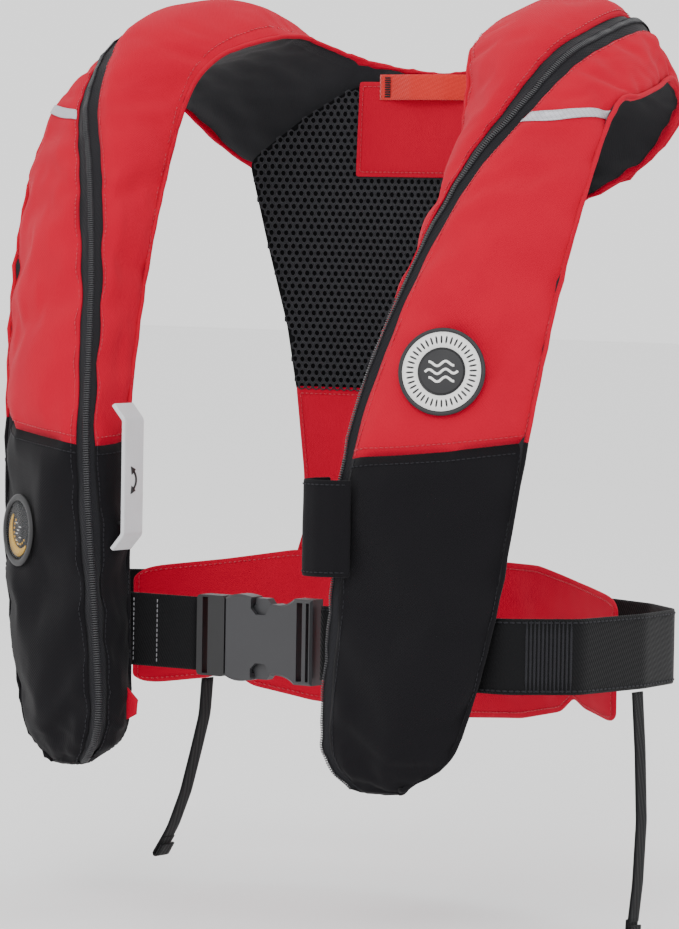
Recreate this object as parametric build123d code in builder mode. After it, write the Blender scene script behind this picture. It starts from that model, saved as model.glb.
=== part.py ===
"""Inflatable life jacket: horse-collar cover with its zip, mesh back, hip pad, waist belt,
side-release buckle, and the gas inflation and oral inflation gear held inside the lobes.

Millimetres, +Z up. The front of the wearer faces -Y and the wearer's left is +X.
The origin is the middle of the back neckline's height, on the wearer's neck axis.
"""
import os
from math import radians, tan

from build123d import *

# ---- driving dimensions -------------------------------------------------------------
FABRIC = 1.6             # sewn cover cloth with its backing
TAPE_HALF = 8.5          # half width of the zip with both tapes
TAPE_PROUD = 2.0         # how far the zip stands off the covers it joins
LINING_SHORT = 4.0       # how far the lining stops short of the outer edge seam
GAP = 0.4                # air between pieces on different bodies
SHARE_STEP = 0.002       # step along the inner cover's line when its start is looked for
WEB_WIDTH = 50.0         # waist belt webbing
WEB_THICK = 2.0
BELT_Z = -385.0          # middle of the belt
BELT_Y = -81.0           # front run of the belt, behind both lobes
TAIL_WIDTH = 13.0        # narrow adjuster webbing
TAIL_THICK = 1.6
BADGE_RADIUS = 29.0
WINDOW_RADIUS = 22.0
NECK_BACK_Y = 139.5      # inner face of the back panel at the middle
BACK_CURVE = 0.001       # how fast the back panel curves forward towards the sides
GEAR_X = -124.0          # axis of the gas cylinder, in the right lobe
GEAR_Y = -107.0
GEAR_Z = -313.0          # middle of the inflator
LEVER_X = -108.0         # pivot of the inflator lever
LANYARD_Z = -311.0
LANYARD_RADIUS = 1.4
SIDES = {"left": 1, "right": -1}

# Sewing stations up one lobe, over the shoulder and round to the middle of the back, for the
# wearer's left side: zip line, outer edge, neck edge, and how far the front cover bows out.
STATIONS = [
    ((108, -119, -477), (146, -108, -477), (110, -107, -477), 2),
    ((94, -126, -460), (173, -98, -460), (95, -92, -460), 8),
    ((90, -127, -433), (186, -92, -433), (91, -88, -433), 13),
    ((96, -127, -360), (203, -84, -360), (95, -85, -360), 16),
    ((104, -128, -258), (217, -70, -245), (101, -81, -256), 15),
    ((126, -96, -150), (227, -52, -150), (112, -49, -150), 14),
    ((151, -67, -77), (233, -25, -75), (119, -17, -77), 12),
    ((179, -36, -27), (232, 8, -25), (115, 2, -22), 8),
    ((193, 0, 8), (232, 36, -19), (106, 16, 3), 6),
    ((200, 37, 26), (227, 68, -12), (95, 40, 17), 6),
    ((200, 82, 37), (219, 98, -6), (84, 86, 26), 6),
    ((188, 118, 24), (207, 126, -30), (76, 116, 20), 8),
    ((150, 150, 0), (164, 142, -66), (60, 142, 10), 10),
    ((80, 172, -20), (88, 158, -94), (30, 146, 5), 10),
    ((0, 180, -26), (0, 162, -104), (0, 148, 2), 10),
]
SEAM = 4                 # station of the colour seam between lower and upper covers
BLADDER_DEPTH = [0, 0, 0, 4, 5, 16, 18, 16, 15, 15, 15, 15, 14, 14, 14]
INNER_RISES = [1, 2, 4, 5, 5, 6, 8, 12, 16, 19, 20, 20, 16, 12, 10]

# ---- helpers ------------------------------------------------------------------------
def mirrored(point, side):
    """A station point on the wearer's left, or its twin on the right."""
    return Vector(point[0] * side, point[1], point[2])


def section(index, side):
    """The section plane of one station, with its corner points in the plane's own x and y.

    The plane starts at the neck edge, x runs to the outer edge and y runs to the outside.
    """
    zip_line, outer, neck, _ = STATIONS[index]
    zip_line, outer, neck = (mirrored(p, side) for p in (zip_line, outer, neck))
    across = (outer - neck).normalized()
    normal = across.cross(zip_line - neck).normalized()
    plane = Plane(origin=neck, x_dir=across, z_dir=normal)
    corner = plane.to_local_coords(zip_line)
    return plane, Vector(corner.X, corner.Y), Vector((outer - neck).length, 0)


def bow(start, end, rise, share, lift=0.0):
    """A point on the bowed line from start to end, lifted off it to its left."""
    along = end - start
    left = Vector(-along.Y, along.X).normalized()
    return start + along * share + left * (4 * rise * share * (1 - share) + lift)


def bowed_strip(start, end, rise, first, last, lift, thick):
    """Closed outline of cloth on a bowed line, between two shares of its length."""
    middle = (first + last) / 2
    outside = [bow(start, end, rise, s, lift) for s in (first, middle, last)]
    inside = [bow(start, end, rise, s, lift - thick) for s in (first, middle, last)]
    with BuildLine() as outline:
        ThreePointArc(*outside)
        Line(outside[2], inside[2])
        ThreePointArc(*reversed(inside))
        Line(inside[0], outside[0])
    make_face(outline.edges())


def front_cover(side, stations, label):
    """Cloth from the zip round to the outer edge of a lobe."""
    with BuildPart() as cover:
        for index in stations:
            plane, corner, outer = section(index, side)
            first = TAPE_HALF / (outer - corner).length
            with BuildSketch(plane):
                bowed_strip(corner, outer, STATIONS[index][3], first, 1.0, 0.0, FABRIC)
        loft(ruled=True)
    save(cover, label)


def clear_of_lining(corner, rise):
    """Share of the inner cover's line at which its inside stands clear of the lining."""
    share = (FABRIC + GAP) / corner.length
    while bow(Vector(0, 0), corner, rise, share, -FABRIC).Y < FABRIC + GAP:
        share += SHARE_STEP
    return share


def inner_cover(side, stations, label, hole=None):
    """Cloth from the neck edge of a lobe to its zip, with a hole where a cord goes through."""
    with BuildPart() as cover:
        for index in stations:
            plane, corner, _ = section(index, side)
            length = corner.length
            first = clear_of_lining(corner, INNER_RISES[index])
            last = 1 - min(TAPE_HALF, length / 2) / length
            with BuildSketch(plane):
                bowed_strip(Vector(0, 0), corner, INNER_RISES[index], first, last, 0.0, FABRIC)
        loft(ruled=True)
        if hole:
            with Locations(Location(hole, (0, 90, 0))):
                Cylinder(LANYARD_RADIUS + 1.6, 20, mode=Mode.SUBTRACT)
    save(cover, label)


def lining(side, label):
    """Flat cloth against the wearer, from the neck edge to the outer edge of a lobe."""
    with BuildPart() as cloth:
        for index in range(len(STATIONS)):
            plane, _, outer = section(index, side)
            with BuildSketch(plane):
                with BuildLine():
                    Polyline((0, 0), (outer.X - LINING_SHORT, 0),
                             (outer.X - 2 * LINING_SHORT, FABRIC), (FABRIC, FABRIC), close=True)
                make_face()
        loft(ruled=True)
    save(cloth, label)


def zip_tape(side, label):
    """Both zip tapes and the closed chain, bent round the front corner of a lobe."""
    with BuildPart() as tape:
        for index in range(len(STATIONS)):
            plane, corner, outer = section(index, side)
            edge = outer - corner
            inner_share = 1 - min(TAPE_HALF, corner.length / 2) / corner.length
            outer_share = TAPE_HALF / edge.length
            rim = (corner.normalized() - edge.normalized()).normalized()
            low, high = TAPE_PROUD - FABRIC, TAPE_PROUD
            start = [bow(Vector(0, 0), corner, INNER_RISES[index], inner_share, t)
                     for t in (high, low)]
            finish = [bow(corner, outer, STATIONS[index][3], outer_share, t)
                      for t in (high, low)]
            with BuildSketch(plane):
                with BuildLine():
                    Polyline(start[0], corner + rim * (high + 1), finish[0], finish[1],
                             corner + rim * (low + 1), start[1], close=True)
                make_face()
        loft(ruled=True)
    save(tape, label)


def level_run(route, height, width, thick, radius):
    """Webbing standing on edge, swept along a level route at one height."""
    with BuildLine() as run:
        FilletPolyline(*((x, y, height) for x, y in route), radius=radius)
    with BuildSketch(Plane(origin=run.line @ 0, x_dir=(0, 0, 1), z_dir=run.line % 0)) as tape:
        Rectangle(width, thick)
    sweep(sections=tape.sketch, path=run.line)


def save(builder, label):
    """Label a finished piece and write it out."""
    builder.part.label = label
    export_step(builder.part, f"parts/{label}.step")


def back_line(x, depth=0.0):
    """How far back the back panel's inner face lies at one place across the back."""
    return NECK_BACK_Y - BACK_CURVE * x * x + depth


def back_band(half, near, far):
    """Plan outline of a panel that follows the wearer's back, between two depths."""
    with BuildLine() as outline:
        ThreePointArc((-half, back_line(half, near)), (0, back_line(0, near)),
                      (half, back_line(half, near)))
        Line((half, back_line(half, near)), (half, back_line(half, far)))
        ThreePointArc((half, back_line(half, far)), (0, back_line(0, far)),
                      (-half, back_line(half, far)))
        Line((-half, back_line(half, far)), (-half, back_line(half, near)))
    make_face(outline.edges())


def both_halves(points):
    """An outline given by its right-hand points from top to bottom, closed about x = 0."""
    return [*points, *((-x, z) for x, z in reversed(points))]


os.makedirs("parts", exist_ok=True)

# ---- lobe covers, linings and zips ----------------------------------------------------
LOWER = range(0, SEAM + 1)
UPPER = range(SEAM, len(STATIONS))
for name, way in SIDES.items():
    front_cover(way, LOWER, f"{name}_front_cover_lower")
    front_cover(way, UPPER, f"{name}_front_cover_upper")
    hole = (LEVER_X + 12, GEAR_Y, LANYARD_Z) if name == "right" else None
    inner_cover(way, LOWER, f"{name}_inner_cover_lower", hole)
    inner_cover(way, UPPER, f"{name}_inner_cover_upper")
    lining(way, f"{name}_lobe_lining")
    zip_tape(way, f"{name}_zip")

# ---- back: mesh, yoke, lower panel, hip pad, hanging loop ------------------------------
MESH_THICK = 4.0
MESH_FOOT = -226.0
BACK_FOOT = -338.0
YOKE_FOOT = -72.0
YOKE_HALF = 64.0

with BuildPart() as back_mesh_panel:
    with BuildSketch(Plane.XY.offset(MESH_FOOT)):
        back_band(150, 0, MESH_THICK)
    extrude(amount=-MESH_FOOT + 10)
    with BuildSketch(Plane.XZ):
        with BuildLine():
            Polyline((50, -3), (66, 3), (126, -62), (100, -120), (84, -180), (76, MESH_FOOT),
                     (-110, MESH_FOOT), (-118, -180), (-134, -120), (-148, -62), (-66, 3),
                     (-50, -3), close=True)
        make_face()
    extrude(amount=-2 * NECK_BACK_Y, mode=Mode.INTERSECT)
save(back_mesh_panel, "back_mesh_panel")

with BuildPart() as yoke_panel:
    with BuildSketch(Plane.XY.offset(YOKE_FOOT)):
        back_band(YOKE_HALF, -FABRIC, -0.1)
    extrude(amount=-YOKE_FOOT - 4)
save(yoke_panel, "yoke_panel")

with BuildPart() as lower_back_panel:
    with BuildSketch(Plane.XY.offset(BACK_FOOT)):
        back_band(112, -1, 5)
    extrude(amount=MESH_FOOT - BACK_FOOT - GAP)
    with BuildSketch(Plane.XZ):
        with BuildLine():
            Polyline((76, MESH_FOOT), (66, -285), (58, -325), (56, BACK_FOOT),
                     (-108, BACK_FOOT), (-102, -325), (-103, -285), (-110, MESH_FOOT),
                     close=True)
        make_face()
    extrude(amount=-2 * NECK_BACK_Y, mode=Mode.INTERSECT)
save(lower_back_panel, "lower_back_panel")

PAD_HALF = 206.0
PAD_END_Y = 58.0
PAD_BACK_Y = 135.0
PAD_THICK = 10.0
PAD_TOP = -338.5
with BuildPart() as hip_pad:
    with BuildSketch(Plane.XY.offset(-460)):
        with BuildLine():
            ThreePointArc((-PAD_HALF, PAD_END_Y), (0, PAD_BACK_Y), (PAD_HALF, PAD_END_Y))
            Line((PAD_HALF, PAD_END_Y), (PAD_HALF, PAD_END_Y + PAD_THICK))
            ThreePointArc((PAD_HALF, PAD_END_Y + PAD_THICK), (0, PAD_BACK_Y + PAD_THICK),
                          (-PAD_HALF, PAD_END_Y + PAD_THICK))
            Line((-PAD_HALF, PAD_END_Y + PAD_THICK), (-PAD_HALF, PAD_END_Y))
        make_face()
    extrude(amount=460 + PAD_TOP)
    with BuildSketch(Plane.XZ):
        with BuildLine():
            Polyline(*both_halves([(104, -341), (150, -349), (196, -356),
                                   (205, -366), (205, -436), (190, -440), (160, -436),
                                   (146, -428), (132, -441), (90, -450), (40, -454)]),
                     close=True)
        make_face()
    extrude(amount=-2 * NECK_BACK_Y, mode=Mode.INTERSECT)
save(hip_pad, "hip_pad")

# ---- hanging loop: webbing standing off the yoke at the neckline -----------------------
LOOP_WIDTH = 18.0
LOOP_Y = NECK_BACK_Y - FABRIC
with BuildPart() as hanging_loop:
    level_run([(-44, LOOP_Y - 3), (-34, LOOP_Y - 4), (-14, LOOP_Y - 9), (14, LOOP_Y - 9),
               (34, LOOP_Y - 4), (44, LOOP_Y - 3)], -8, LOOP_WIDTH, FABRIC, 12)
save(hanging_loop, "hanging_loop")

# ---- waist belt -------------------------------------------------------------------------
BUCKLE_X = 8.0           # middle of the fastened buckle
FEMALE_MOUTH = BUCKLE_X - 22.0
FEMALE_END = BUCKLE_X + 50.0
MALE_END = BUCKLE_X - 46.0


with BuildPart() as belt_webbing:
    level_run([(FEMALE_END + 3, BELT_Y), (206, BELT_Y + 2), (242, -46), (251, 22), (247, 70),
               (210, 99), (112, 138), (0, 154), (-112, 138), (-210, 99), (-247, 70), (-249, 8),
               (-226, -38), (-200, BELT_Y + 7), (-120, BELT_Y + 4)],
              BELT_Z, WEB_WIDTH, WEB_THICK, 20)
save(belt_webbing, "belt_webbing")

with BuildPart() as belt_front_strap:
    with BuildSketch(Plane.XY.offset(BELT_Z - WEB_WIDTH / 2)):
        with Locations(((MALE_END - 4 - 175) / 2, BELT_Y)):
            Rectangle(175 + MALE_END - 4, WEB_THICK)
    extrude(amount=WEB_WIDTH)
save(belt_front_strap, "belt_front_strap")

# ---- side-release buckle ----------------------------------------------------------------
BUCKLE_THICK = 15.0
BUCKLE_HALF = 28.5       # half height of the buckle
WAIST_HALF = 24.0        # half height at the finger waist
SOCKET_HALF = 23.5
SOCKET_THICK = 9.0
PRONG_THICK = 7.0
PRONG_TIP = BUCKLE_X + 20.0
BAR_SLOT = 4.5
FRONT = Plane.XZ.offset(-BELT_Y)   # the belt's plane, seen from the front

with BuildPart() as buckle_female:
    with BuildSketch(FRONT):
        with BuildLine():
            right = FEMALE_END
            Line((FEMALE_MOUTH, BELT_Z - BUCKLE_HALF + 2), (FEMALE_MOUTH, BELT_Z + BUCKLE_HALF - 2))
            Spline((FEMALE_MOUTH, BELT_Z + BUCKLE_HALF - 2), (BUCKLE_X - 2, BELT_Z + BUCKLE_HALF),
                   (BUCKLE_X + 24, BELT_Z + WAIST_HALF), (right - 15, BELT_Z + BUCKLE_HALF + 0.5))
            Line((right - 15, BELT_Z + BUCKLE_HALF + 0.5), (right, BELT_Z + BUCKLE_HALF + 0.5))
            Line((right, BELT_Z + BUCKLE_HALF + 0.5), (right, BELT_Z - BUCKLE_HALF - 0.5))
            Line((right, BELT_Z - BUCKLE_HALF - 0.5), (right - 15, BELT_Z - BUCKLE_HALF - 0.5))
            Spline((right - 15, BELT_Z - BUCKLE_HALF - 0.5), (BUCKLE_X + 24, BELT_Z - WAIST_HALF),
                   (BUCKLE_X - 2, BELT_Z - BUCKLE_HALF), (FEMALE_MOUTH, BELT_Z - BUCKLE_HALF + 2))
        make_face()
    extrude(amount=BUCKLE_THICK / 2, both=True)
    front_rims = buckle_female.faces().sort_by(Axis.Y)[0].edges()
    back_rims = buckle_female.faces().sort_by(Axis.Y)[-1].edges()
    chamfer(front_rims + back_rims, length=1.5)
    with BuildSketch(FRONT):
        with Locations(((FEMALE_MOUTH + PRONG_TIP) / 2 - 1, BELT_Z)):
            Rectangle(PRONG_TIP - FEMALE_MOUTH + 4, 2 * SOCKET_HALF)
    extrude(amount=SOCKET_THICK / 2, both=True, mode=Mode.SUBTRACT)
    for way in SIDES.values():
        with BuildSketch(FRONT):
            with BuildLine():
                low = BELT_Z + way * (BUCKLE_HALF - 12)
                high = BELT_Z + way * (BUCKLE_HALF + 2)
                Polyline((BUCKLE_X, high), (BUCKLE_X, low + way * 4), (BUCKLE_X + 4, low),
                         (BUCKLE_X + 12, low), (BUCKLE_X + 20, high), close=True)
            make_face()
        extrude(amount=BUCKLE_THICK, both=True, mode=Mode.SUBTRACT)
    with BuildSketch(FRONT):
        with Locations((FEMALE_END - 10, BELT_Z)):
            Rectangle(BAR_SLOT, WEB_WIDTH + 3)
        with Locations((FEMALE_END - 3.5, BELT_Z)):
            Rectangle(2.4, WEB_WIDTH + 3)
    extrude(amount=BUCKLE_THICK, both=True, mode=Mode.SUBTRACT)
save(buckle_female, "buckle_female")

MALE_FACE = FEMALE_MOUTH - 1.0
with BuildPart() as buckle_male:
    with BuildSketch(FRONT):
        with Locations(((MALE_END + MALE_FACE) / 2, BELT_Z)):
            RectangleRounded(MALE_FACE - MALE_END, 2 * BUCKLE_HALF - 2, 3)
        with Locations((MALE_END + 7, BELT_Z)):
            Rectangle(BAR_SLOT, WEB_WIDTH + 2, mode=Mode.SUBTRACT)
    extrude(amount=BUCKLE_THICK / 2 - 1.5, both=True)
    with BuildSketch(FRONT):
        with Locations(((MALE_FACE + BUCKLE_X + 10) / 2, BELT_Z)):
            Rectangle(BUCKLE_X + 10 - MALE_FACE, 12)
    extrude(amount=PRONG_THICK / 2 - 0.8, both=True)
save(buckle_male, "buckle_male")

PRONG_ROOT = MALE_FACE + GAP
PRONG_Z = SOCKET_HALF - 1.0
prongs = {}
for name, way in {"upper": 1, "lower": -1}.items():
    with BuildPart() as prongs[name]:
        with BuildSketch(FRONT):
            with BuildLine():
                base = BELT_Z + way * (PRONG_Z - 6)
                Polyline((PRONG_ROOT, BELT_Z + way * PRONG_Z), (BUCKLE_X + 1, BELT_Z + way * PRONG_Z),
                         (BUCKLE_X + 2, BELT_Z + way * (BUCKLE_HALF - 1)),
                         (BUCKLE_X + 11, BELT_Z + way * (BUCKLE_HALF - 1)),
                         (PRONG_TIP, BELT_Z + way * (PRONG_Z - 6)),
                         (PRONG_TIP - 3, BELT_Z + way * (PRONG_Z - 9)),
                         (BUCKLE_X, base), (PRONG_ROOT, base), close=True)
            make_face()
        extrude(amount=PRONG_THICK / 2, both=True)
    save(prongs[name], f"buckle_prong_{name}")

# ---- adjuster tails: narrow webbing hanging free ----------------------------------------


def cord_radius(before, corner, after):
    """As large an arc at a corner of a route as its two runs allow."""
    one, two = corner - before, after - corner
    turn = radians(one.get_angle(two))
    return 0.45 * min(one.length, two.length) / tan(turn / 2)


def hanging_tail(route, width, thick):
    """Flat webbing along a route that lies in a plane across the wearer."""
    corners = [Vector(*point) for point in route]
    radii = [cord_radius(*corners[i - 1:i + 2]) for i in range(1, len(corners) - 1)]
    with BuildLine() as run:
        FilletPolyline(*corners, radius=radii)
    with BuildSketch(Plane(origin=run.line @ 0, x_dir=(0, 1, 0), z_dir=run.line % 0)) as tape:
        Rectangle(width, thick)
    sweep(sections=tape.sketch, path=run.line)


LEFT_TAIL = [(249, 18, -412), (252, 18, -452), (254, 18, -498), (252, 18, -540),
             (249, 18, -566)]
RIGHT_TAIL = [(-34, -79, -415), (-36, -79, -440), (-43, -79, -466), (-51, -79, -494),
              (-61, -79, -518), (-67, -79, -528)]
for name, route in {"left": LEFT_TAIL, "right": RIGHT_TAIL}.items():
    with BuildPart() as tail:
        hanging_tail(route, TAIL_WIDTH, TAIL_THICK)
    save(tail, f"{name}_adjuster_tail")

# Sewn stops folded on the ends of the tails.
with BuildPart() as left_tail_stop:
    with BuildSketch(Plane.XZ.offset(-18)):
        with Locations((248.6, -573)):
            RectangleRounded(6, 13, 2)
    extrude(amount=TAIL_WIDTH / 2 + 1, both=True)
save(left_tail_stop, "left_tail_stop")
with BuildPart() as right_tail_stop:
    with BuildSketch(Plane.XZ.offset(79)):
        with Locations(Location((-69.5, -534), 30)):
            RectangleRounded(7, 13, 2.5)
    extrude(amount=TAIL_WIDTH / 2 + 1, both=True)
save(right_tail_stop, "right_tail_stop")


# ---- pieces on the face of the lobes ------------------------------------------------------
def front_point(side, index, share, lift):
    """A point on a front cover at one station, lifted off the cloth, in space."""
    plane, corner, outer = section(index, side)
    local = bow(corner, outer, STATIONS[index][3], share, lift)
    return plane.from_local_coords(local)


def face_plane(side, low, high, share, blend, lift):
    """A plane lying on a front cover between two stations, x to the outer edge."""
    def place(part):
        first = front_point(side, low, part, lift)
        last = front_point(side, high, part, lift)
        return first + (last - first) * blend
    along = front_point(side, high, share, lift) - front_point(side, low, share, lift)
    across = place(share + 0.12) - place(share - 0.12)
    outward = across.cross(along) * side
    return Plane(origin=place(share), x_dir=across, z_dir=outward)


with BuildPart() as badge:
    with BuildSketch(face_plane(1, 4, 5, 0.44, 0.52, 3.6)):
        Circle(BADGE_RADIUS)
    extrude(amount=2.2)
save(badge, "badge")

WINDOW_PLANE = face_plane(-1, 3, 4, 0.58, 0.37, 3.0)
with BuildPart() as window_frame:
    with BuildSketch(WINDOW_PLANE):
        Circle(WINDOW_RADIUS + 3)
        Circle(WINDOW_RADIUS - 2, mode=Mode.SUBTRACT)
    extrude(amount=2.0)
save(window_frame, "window_frame")
with BuildPart() as window_lens:
    with BuildSketch(WINDOW_PLANE.offset(0.2)):
        Circle(WINDOW_RADIUS - 2.1)
    extrude(amount=0.8)
save(window_lens, "window_lens")

for name, way in SIDES.items():
    with BuildPart() as strip:
        for share in (0.2, 0.36, 0.55, 0.77, 0.97):
            plane = face_plane(way, 6, 7, share, 0.9, 1.8)
            with BuildSketch(Plane(origin=plane.origin, x_dir=plane.y_dir, z_dir=plane.x_dir)):
                Rectangle(8.0, 0.8)
        loft(ruled=True)
    save(strip, f"{name}_reflective_strip")

# ---- inflation bladder, folded in the collar ------------------------------------------------
BLADDER_CLEAR = 1.2      # air between the lining and the folded bladder
with BuildPart() as bladder:
    for index in range(3, len(STATIONS)):
        plane, corner, outer = section(index, 1)
        low = FABRIC + BLADDER_CLEAR
        high = low + BLADDER_DEPTH[index]
        with BuildSketch(plane):
            with BuildLine():
                Polyline((6, low), (outer.X - 16, low), (0.66 * outer.X, high),
                         (0.36 * corner.X + 7, high), close=True)
            make_face()
    loft(ruled=True)
    mirror(about=Plane.YZ)
save(bladder, "inflation_bladder")

# ---- pull handle on the right lobe -----------------------------------------------------------
HANDLE_X = -79.5
HANDLE_WIDTH = 22.0
HANDLE_THICK = 3.2
HANDLE_HIGH = -230.0
HANDLE_LOW = -328.0
with BuildPart() as pull_handle:
    with BuildLine() as handle_path:
        FilletPolyline((HANDLE_X - 9, GEAR_Y, HANDLE_HIGH), (HANDLE_X, GEAR_Y, HANDLE_HIGH - 10),
                       (HANDLE_X, GEAR_Y, HANDLE_LOW + 10), (HANDLE_X - 9, GEAR_Y, HANDLE_LOW),
                       radius=4)
    with BuildSketch(Plane(origin=handle_path.line @ 0, x_dir=(0, 1, 0),
                           z_dir=handle_path.line % 0)):
        RectangleRounded(HANDLE_WIDTH, HANDLE_THICK, 1.2)
    sweep()
save(pull_handle, "pull_handle")

LANYARD_START = LEVER_X + 3.4
with BuildPart() as handle_lanyard:
    with BuildSketch(Plane.YZ.offset(LANYARD_START)):
        with Locations((GEAR_Y, LANYARD_Z)):
            Circle(LANYARD_RADIUS)
    extrude(amount=HANDLE_X - HANDLE_THICK / 2 - LANYARD_START)
save(handle_lanyard, "handle_lanyard")

# ---- inflator, lever, piercing pin, gas cylinder ------------------------------------------------
BODY_LEFT, BODY_RIGHT = -148.0, -112.5
BODY_FRONT, BODY_BACK = -117.0, -94.0
BODY_TOP, BODY_FOOT = -294.0, -330.0
NECK_RADIUS = 6.3
CYLINDER_RADIUS = 15.0
CYLINDER_FOOT = -451.0
STEM_X = -138.0
STEM_RADIUS = 4.0
PIN_RADIUS = 1.2
PIVOT_Z = -301.0
EAR_GAP = 7.0
with BuildPart() as inflator_body:
    with BuildSketch(Plane.XY.offset(BODY_FOOT)):
        with Locations(((BODY_LEFT + BODY_RIGHT) / 2, (BODY_FRONT + BODY_BACK) / 2)):
            RectangleRounded(BODY_RIGHT - BODY_LEFT, BODY_BACK - BODY_FRONT, 4)
    extrude(amount=BODY_TOP - BODY_FOOT)
    for way in (-1, 1):
        with BuildSketch(Plane.XZ.offset(-(GEAR_Y + way * (EAR_GAP / 2 + 2)))):
            with Locations((LEVER_X - 2.5, PIVOT_Z)):
                Rectangle(7, 6)
            with Locations((LEVER_X, PIVOT_Z)):
                Circle(3)
        extrude(amount=1.5, both=True)
    with BuildSketch(Plane.XZ.offset(-GEAR_Y)):
        with Locations((LEVER_X, PIVOT_Z)):
            Circle(1.5)
    extrude(amount=EAR_GAP / 2 + 1, both=True)
    with BuildSketch(Plane.XY.offset(BODY_FOOT)):
        with Locations((GEAR_X, GEAR_Y)):
            Circle(NECK_RADIUS + 0.05)
    extrude(amount=10, mode=Mode.SUBTRACT)
    with BuildSketch(Plane.XY.offset(BODY_FOOT)):
        with Locations((GEAR_X, GEAR_Y)):
            Circle(PIN_RADIUS + 0.1)
    extrude(amount=26, mode=Mode.SUBTRACT)
    with BuildSketch(Plane.XZ.offset(-BODY_BACK)):
        with Locations((STEM_X, GEAR_Z)):
            Circle(STEM_RADIUS + 0.2)
    extrude(amount=BODY_BACK - BODY_FRONT, mode=Mode.SUBTRACT)
save(inflator_body, "inflator_body")

with BuildPart() as inflator_lever:
    with BuildSketch(Plane.XZ.offset(-GEAR_Y)):
        with Locations((LEVER_X, PIVOT_Z)):
            Circle(3)
        with Locations((LEVER_X + 1, PIVOT_Z - 6)):
            Rectangle(3.4, 12)
        with Locations((LEVER_X, PIVOT_Z)):
            Circle(1.56, mode=Mode.SUBTRACT)
    extrude(amount=EAR_GAP / 2 - GAP, both=True)
save(inflator_lever, "inflator_lever")

PIN_FOOT = BODY_FOOT + 10.5
with BuildPart() as piercing_pin:
    with BuildSketch(Plane.XY.offset(PIN_FOOT + 2)):
        with Locations((GEAR_X, GEAR_Y)):
            Circle(PIN_RADIUS)
    extrude(amount=10)
    with Locations((GEAR_X, GEAR_Y, PIN_FOOT + 1)):
        Cone(0.3, PIN_RADIUS, 2)
save(piercing_pin, "piercing_pin")

with BuildPart() as co2_cylinder:
    with BuildSketch(Plane.XZ.offset(-GEAR_Y)):
        with BuildLine():
            top = BODY_FOOT - 6
            Polyline((GEAR_X, CYLINDER_FOOT), (GEAR_X + 2, CYLINDER_FOOT))
            Spline((GEAR_X + 2, CYLINDER_FOOT), (GEAR_X + CYLINDER_RADIUS * 0.8, CYLINDER_FOOT + 6),
                   (GEAR_X + CYLINDER_RADIUS, CYLINDER_FOOT + 17),
                   tangents=((1, 0), (0, 1)))
            Line((GEAR_X + CYLINDER_RADIUS, CYLINDER_FOOT + 17), (GEAR_X + CYLINDER_RADIUS, top - 10))
            Polyline((GEAR_X + CYLINDER_RADIUS, top - 10), (GEAR_X + 8.5, top),
                     (GEAR_X + 8.5, BODY_FOOT - 2), (GEAR_X + NECK_RADIUS, BODY_FOOT - 2),
                     (GEAR_X + NECK_RADIUS, BODY_FOOT + 9.6), (GEAR_X + 2, BODY_FOOT + 9.6),
                     (GEAR_X + 2, BODY_FOOT + 4), (GEAR_X, BODY_FOOT + 4), (GEAR_X, CYLINDER_FOOT))
        make_face()
    revolve(axis=Axis((GEAR_X, GEAR_Y, 0), (0, 0, 1)))
save(co2_cylinder, "co2_cylinder")

with BuildPart() as cylinder_gasket:
    with BuildSketch(Plane.XY.offset(BODY_FOOT - 1.6)):
        with Locations((GEAR_X, GEAR_Y)):
            Circle(8.4)
            Circle(NECK_RADIUS + 0.3, mode=Mode.SUBTRACT)
    extrude(amount=1.4)
save(cylinder_gasket, "cylinder_gasket")

with BuildPart() as manifold_flange:
    with BuildSketch(Plane.XZ.offset(-BODY_BACK - GAP - 1)):
        with Locations((STEM_X, GEAR_Z)):
            Circle(14)
    extrude(amount=1)
    with BuildSketch(Plane.XZ.offset(-BODY_BACK - GAP)):
        with Locations((STEM_X, GEAR_Z)):
            Circle(STEM_RADIUS)
            Circle(1.5, mode=Mode.SUBTRACT)
    extrude(amount=BODY_BACK - BODY_FRONT + GAP + 2.6)
save(manifold_flange, "manifold_flange")

with BuildPart() as manifold_nut:
    with BuildSketch(Plane.XZ.offset(-BODY_FRONT + 0.2)):
        with Locations((STEM_X, GEAR_Z)):
            RegularPolygon(6.4, 6)
            Circle(STEM_RADIUS + 0.05, mode=Mode.SUBTRACT)
    extrude(amount=2.4)
save(manifold_nut, "manifold_nut")

# Water sensing cap seen behind the window, with its cartridge.
CAP_RADIUS = 17.0
CAP_DEPTH = 7.0
with BuildPart() as sensor_cap:
    with BuildSketch(WINDOW_PLANE.offset(-6)):
        Circle(CAP_RADIUS)
    extrude(amount=-CAP_DEPTH)
    with BuildSketch(WINDOW_PLANE.offset(-8)):
        Circle(CAP_RADIUS - 2)
    extrude(amount=-CAP_DEPTH, mode=Mode.SUBTRACT)
save(sensor_cap, "sensor_cap")
with BuildPart() as sensor_cartridge:
    with BuildSketch(WINDOW_PLANE.offset(-8.3)):
        Circle(CAP_RADIUS - 5)
    extrude(amount=-CAP_DEPTH + 1)
save(sensor_cartridge, "sensor_cartridge")

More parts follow.
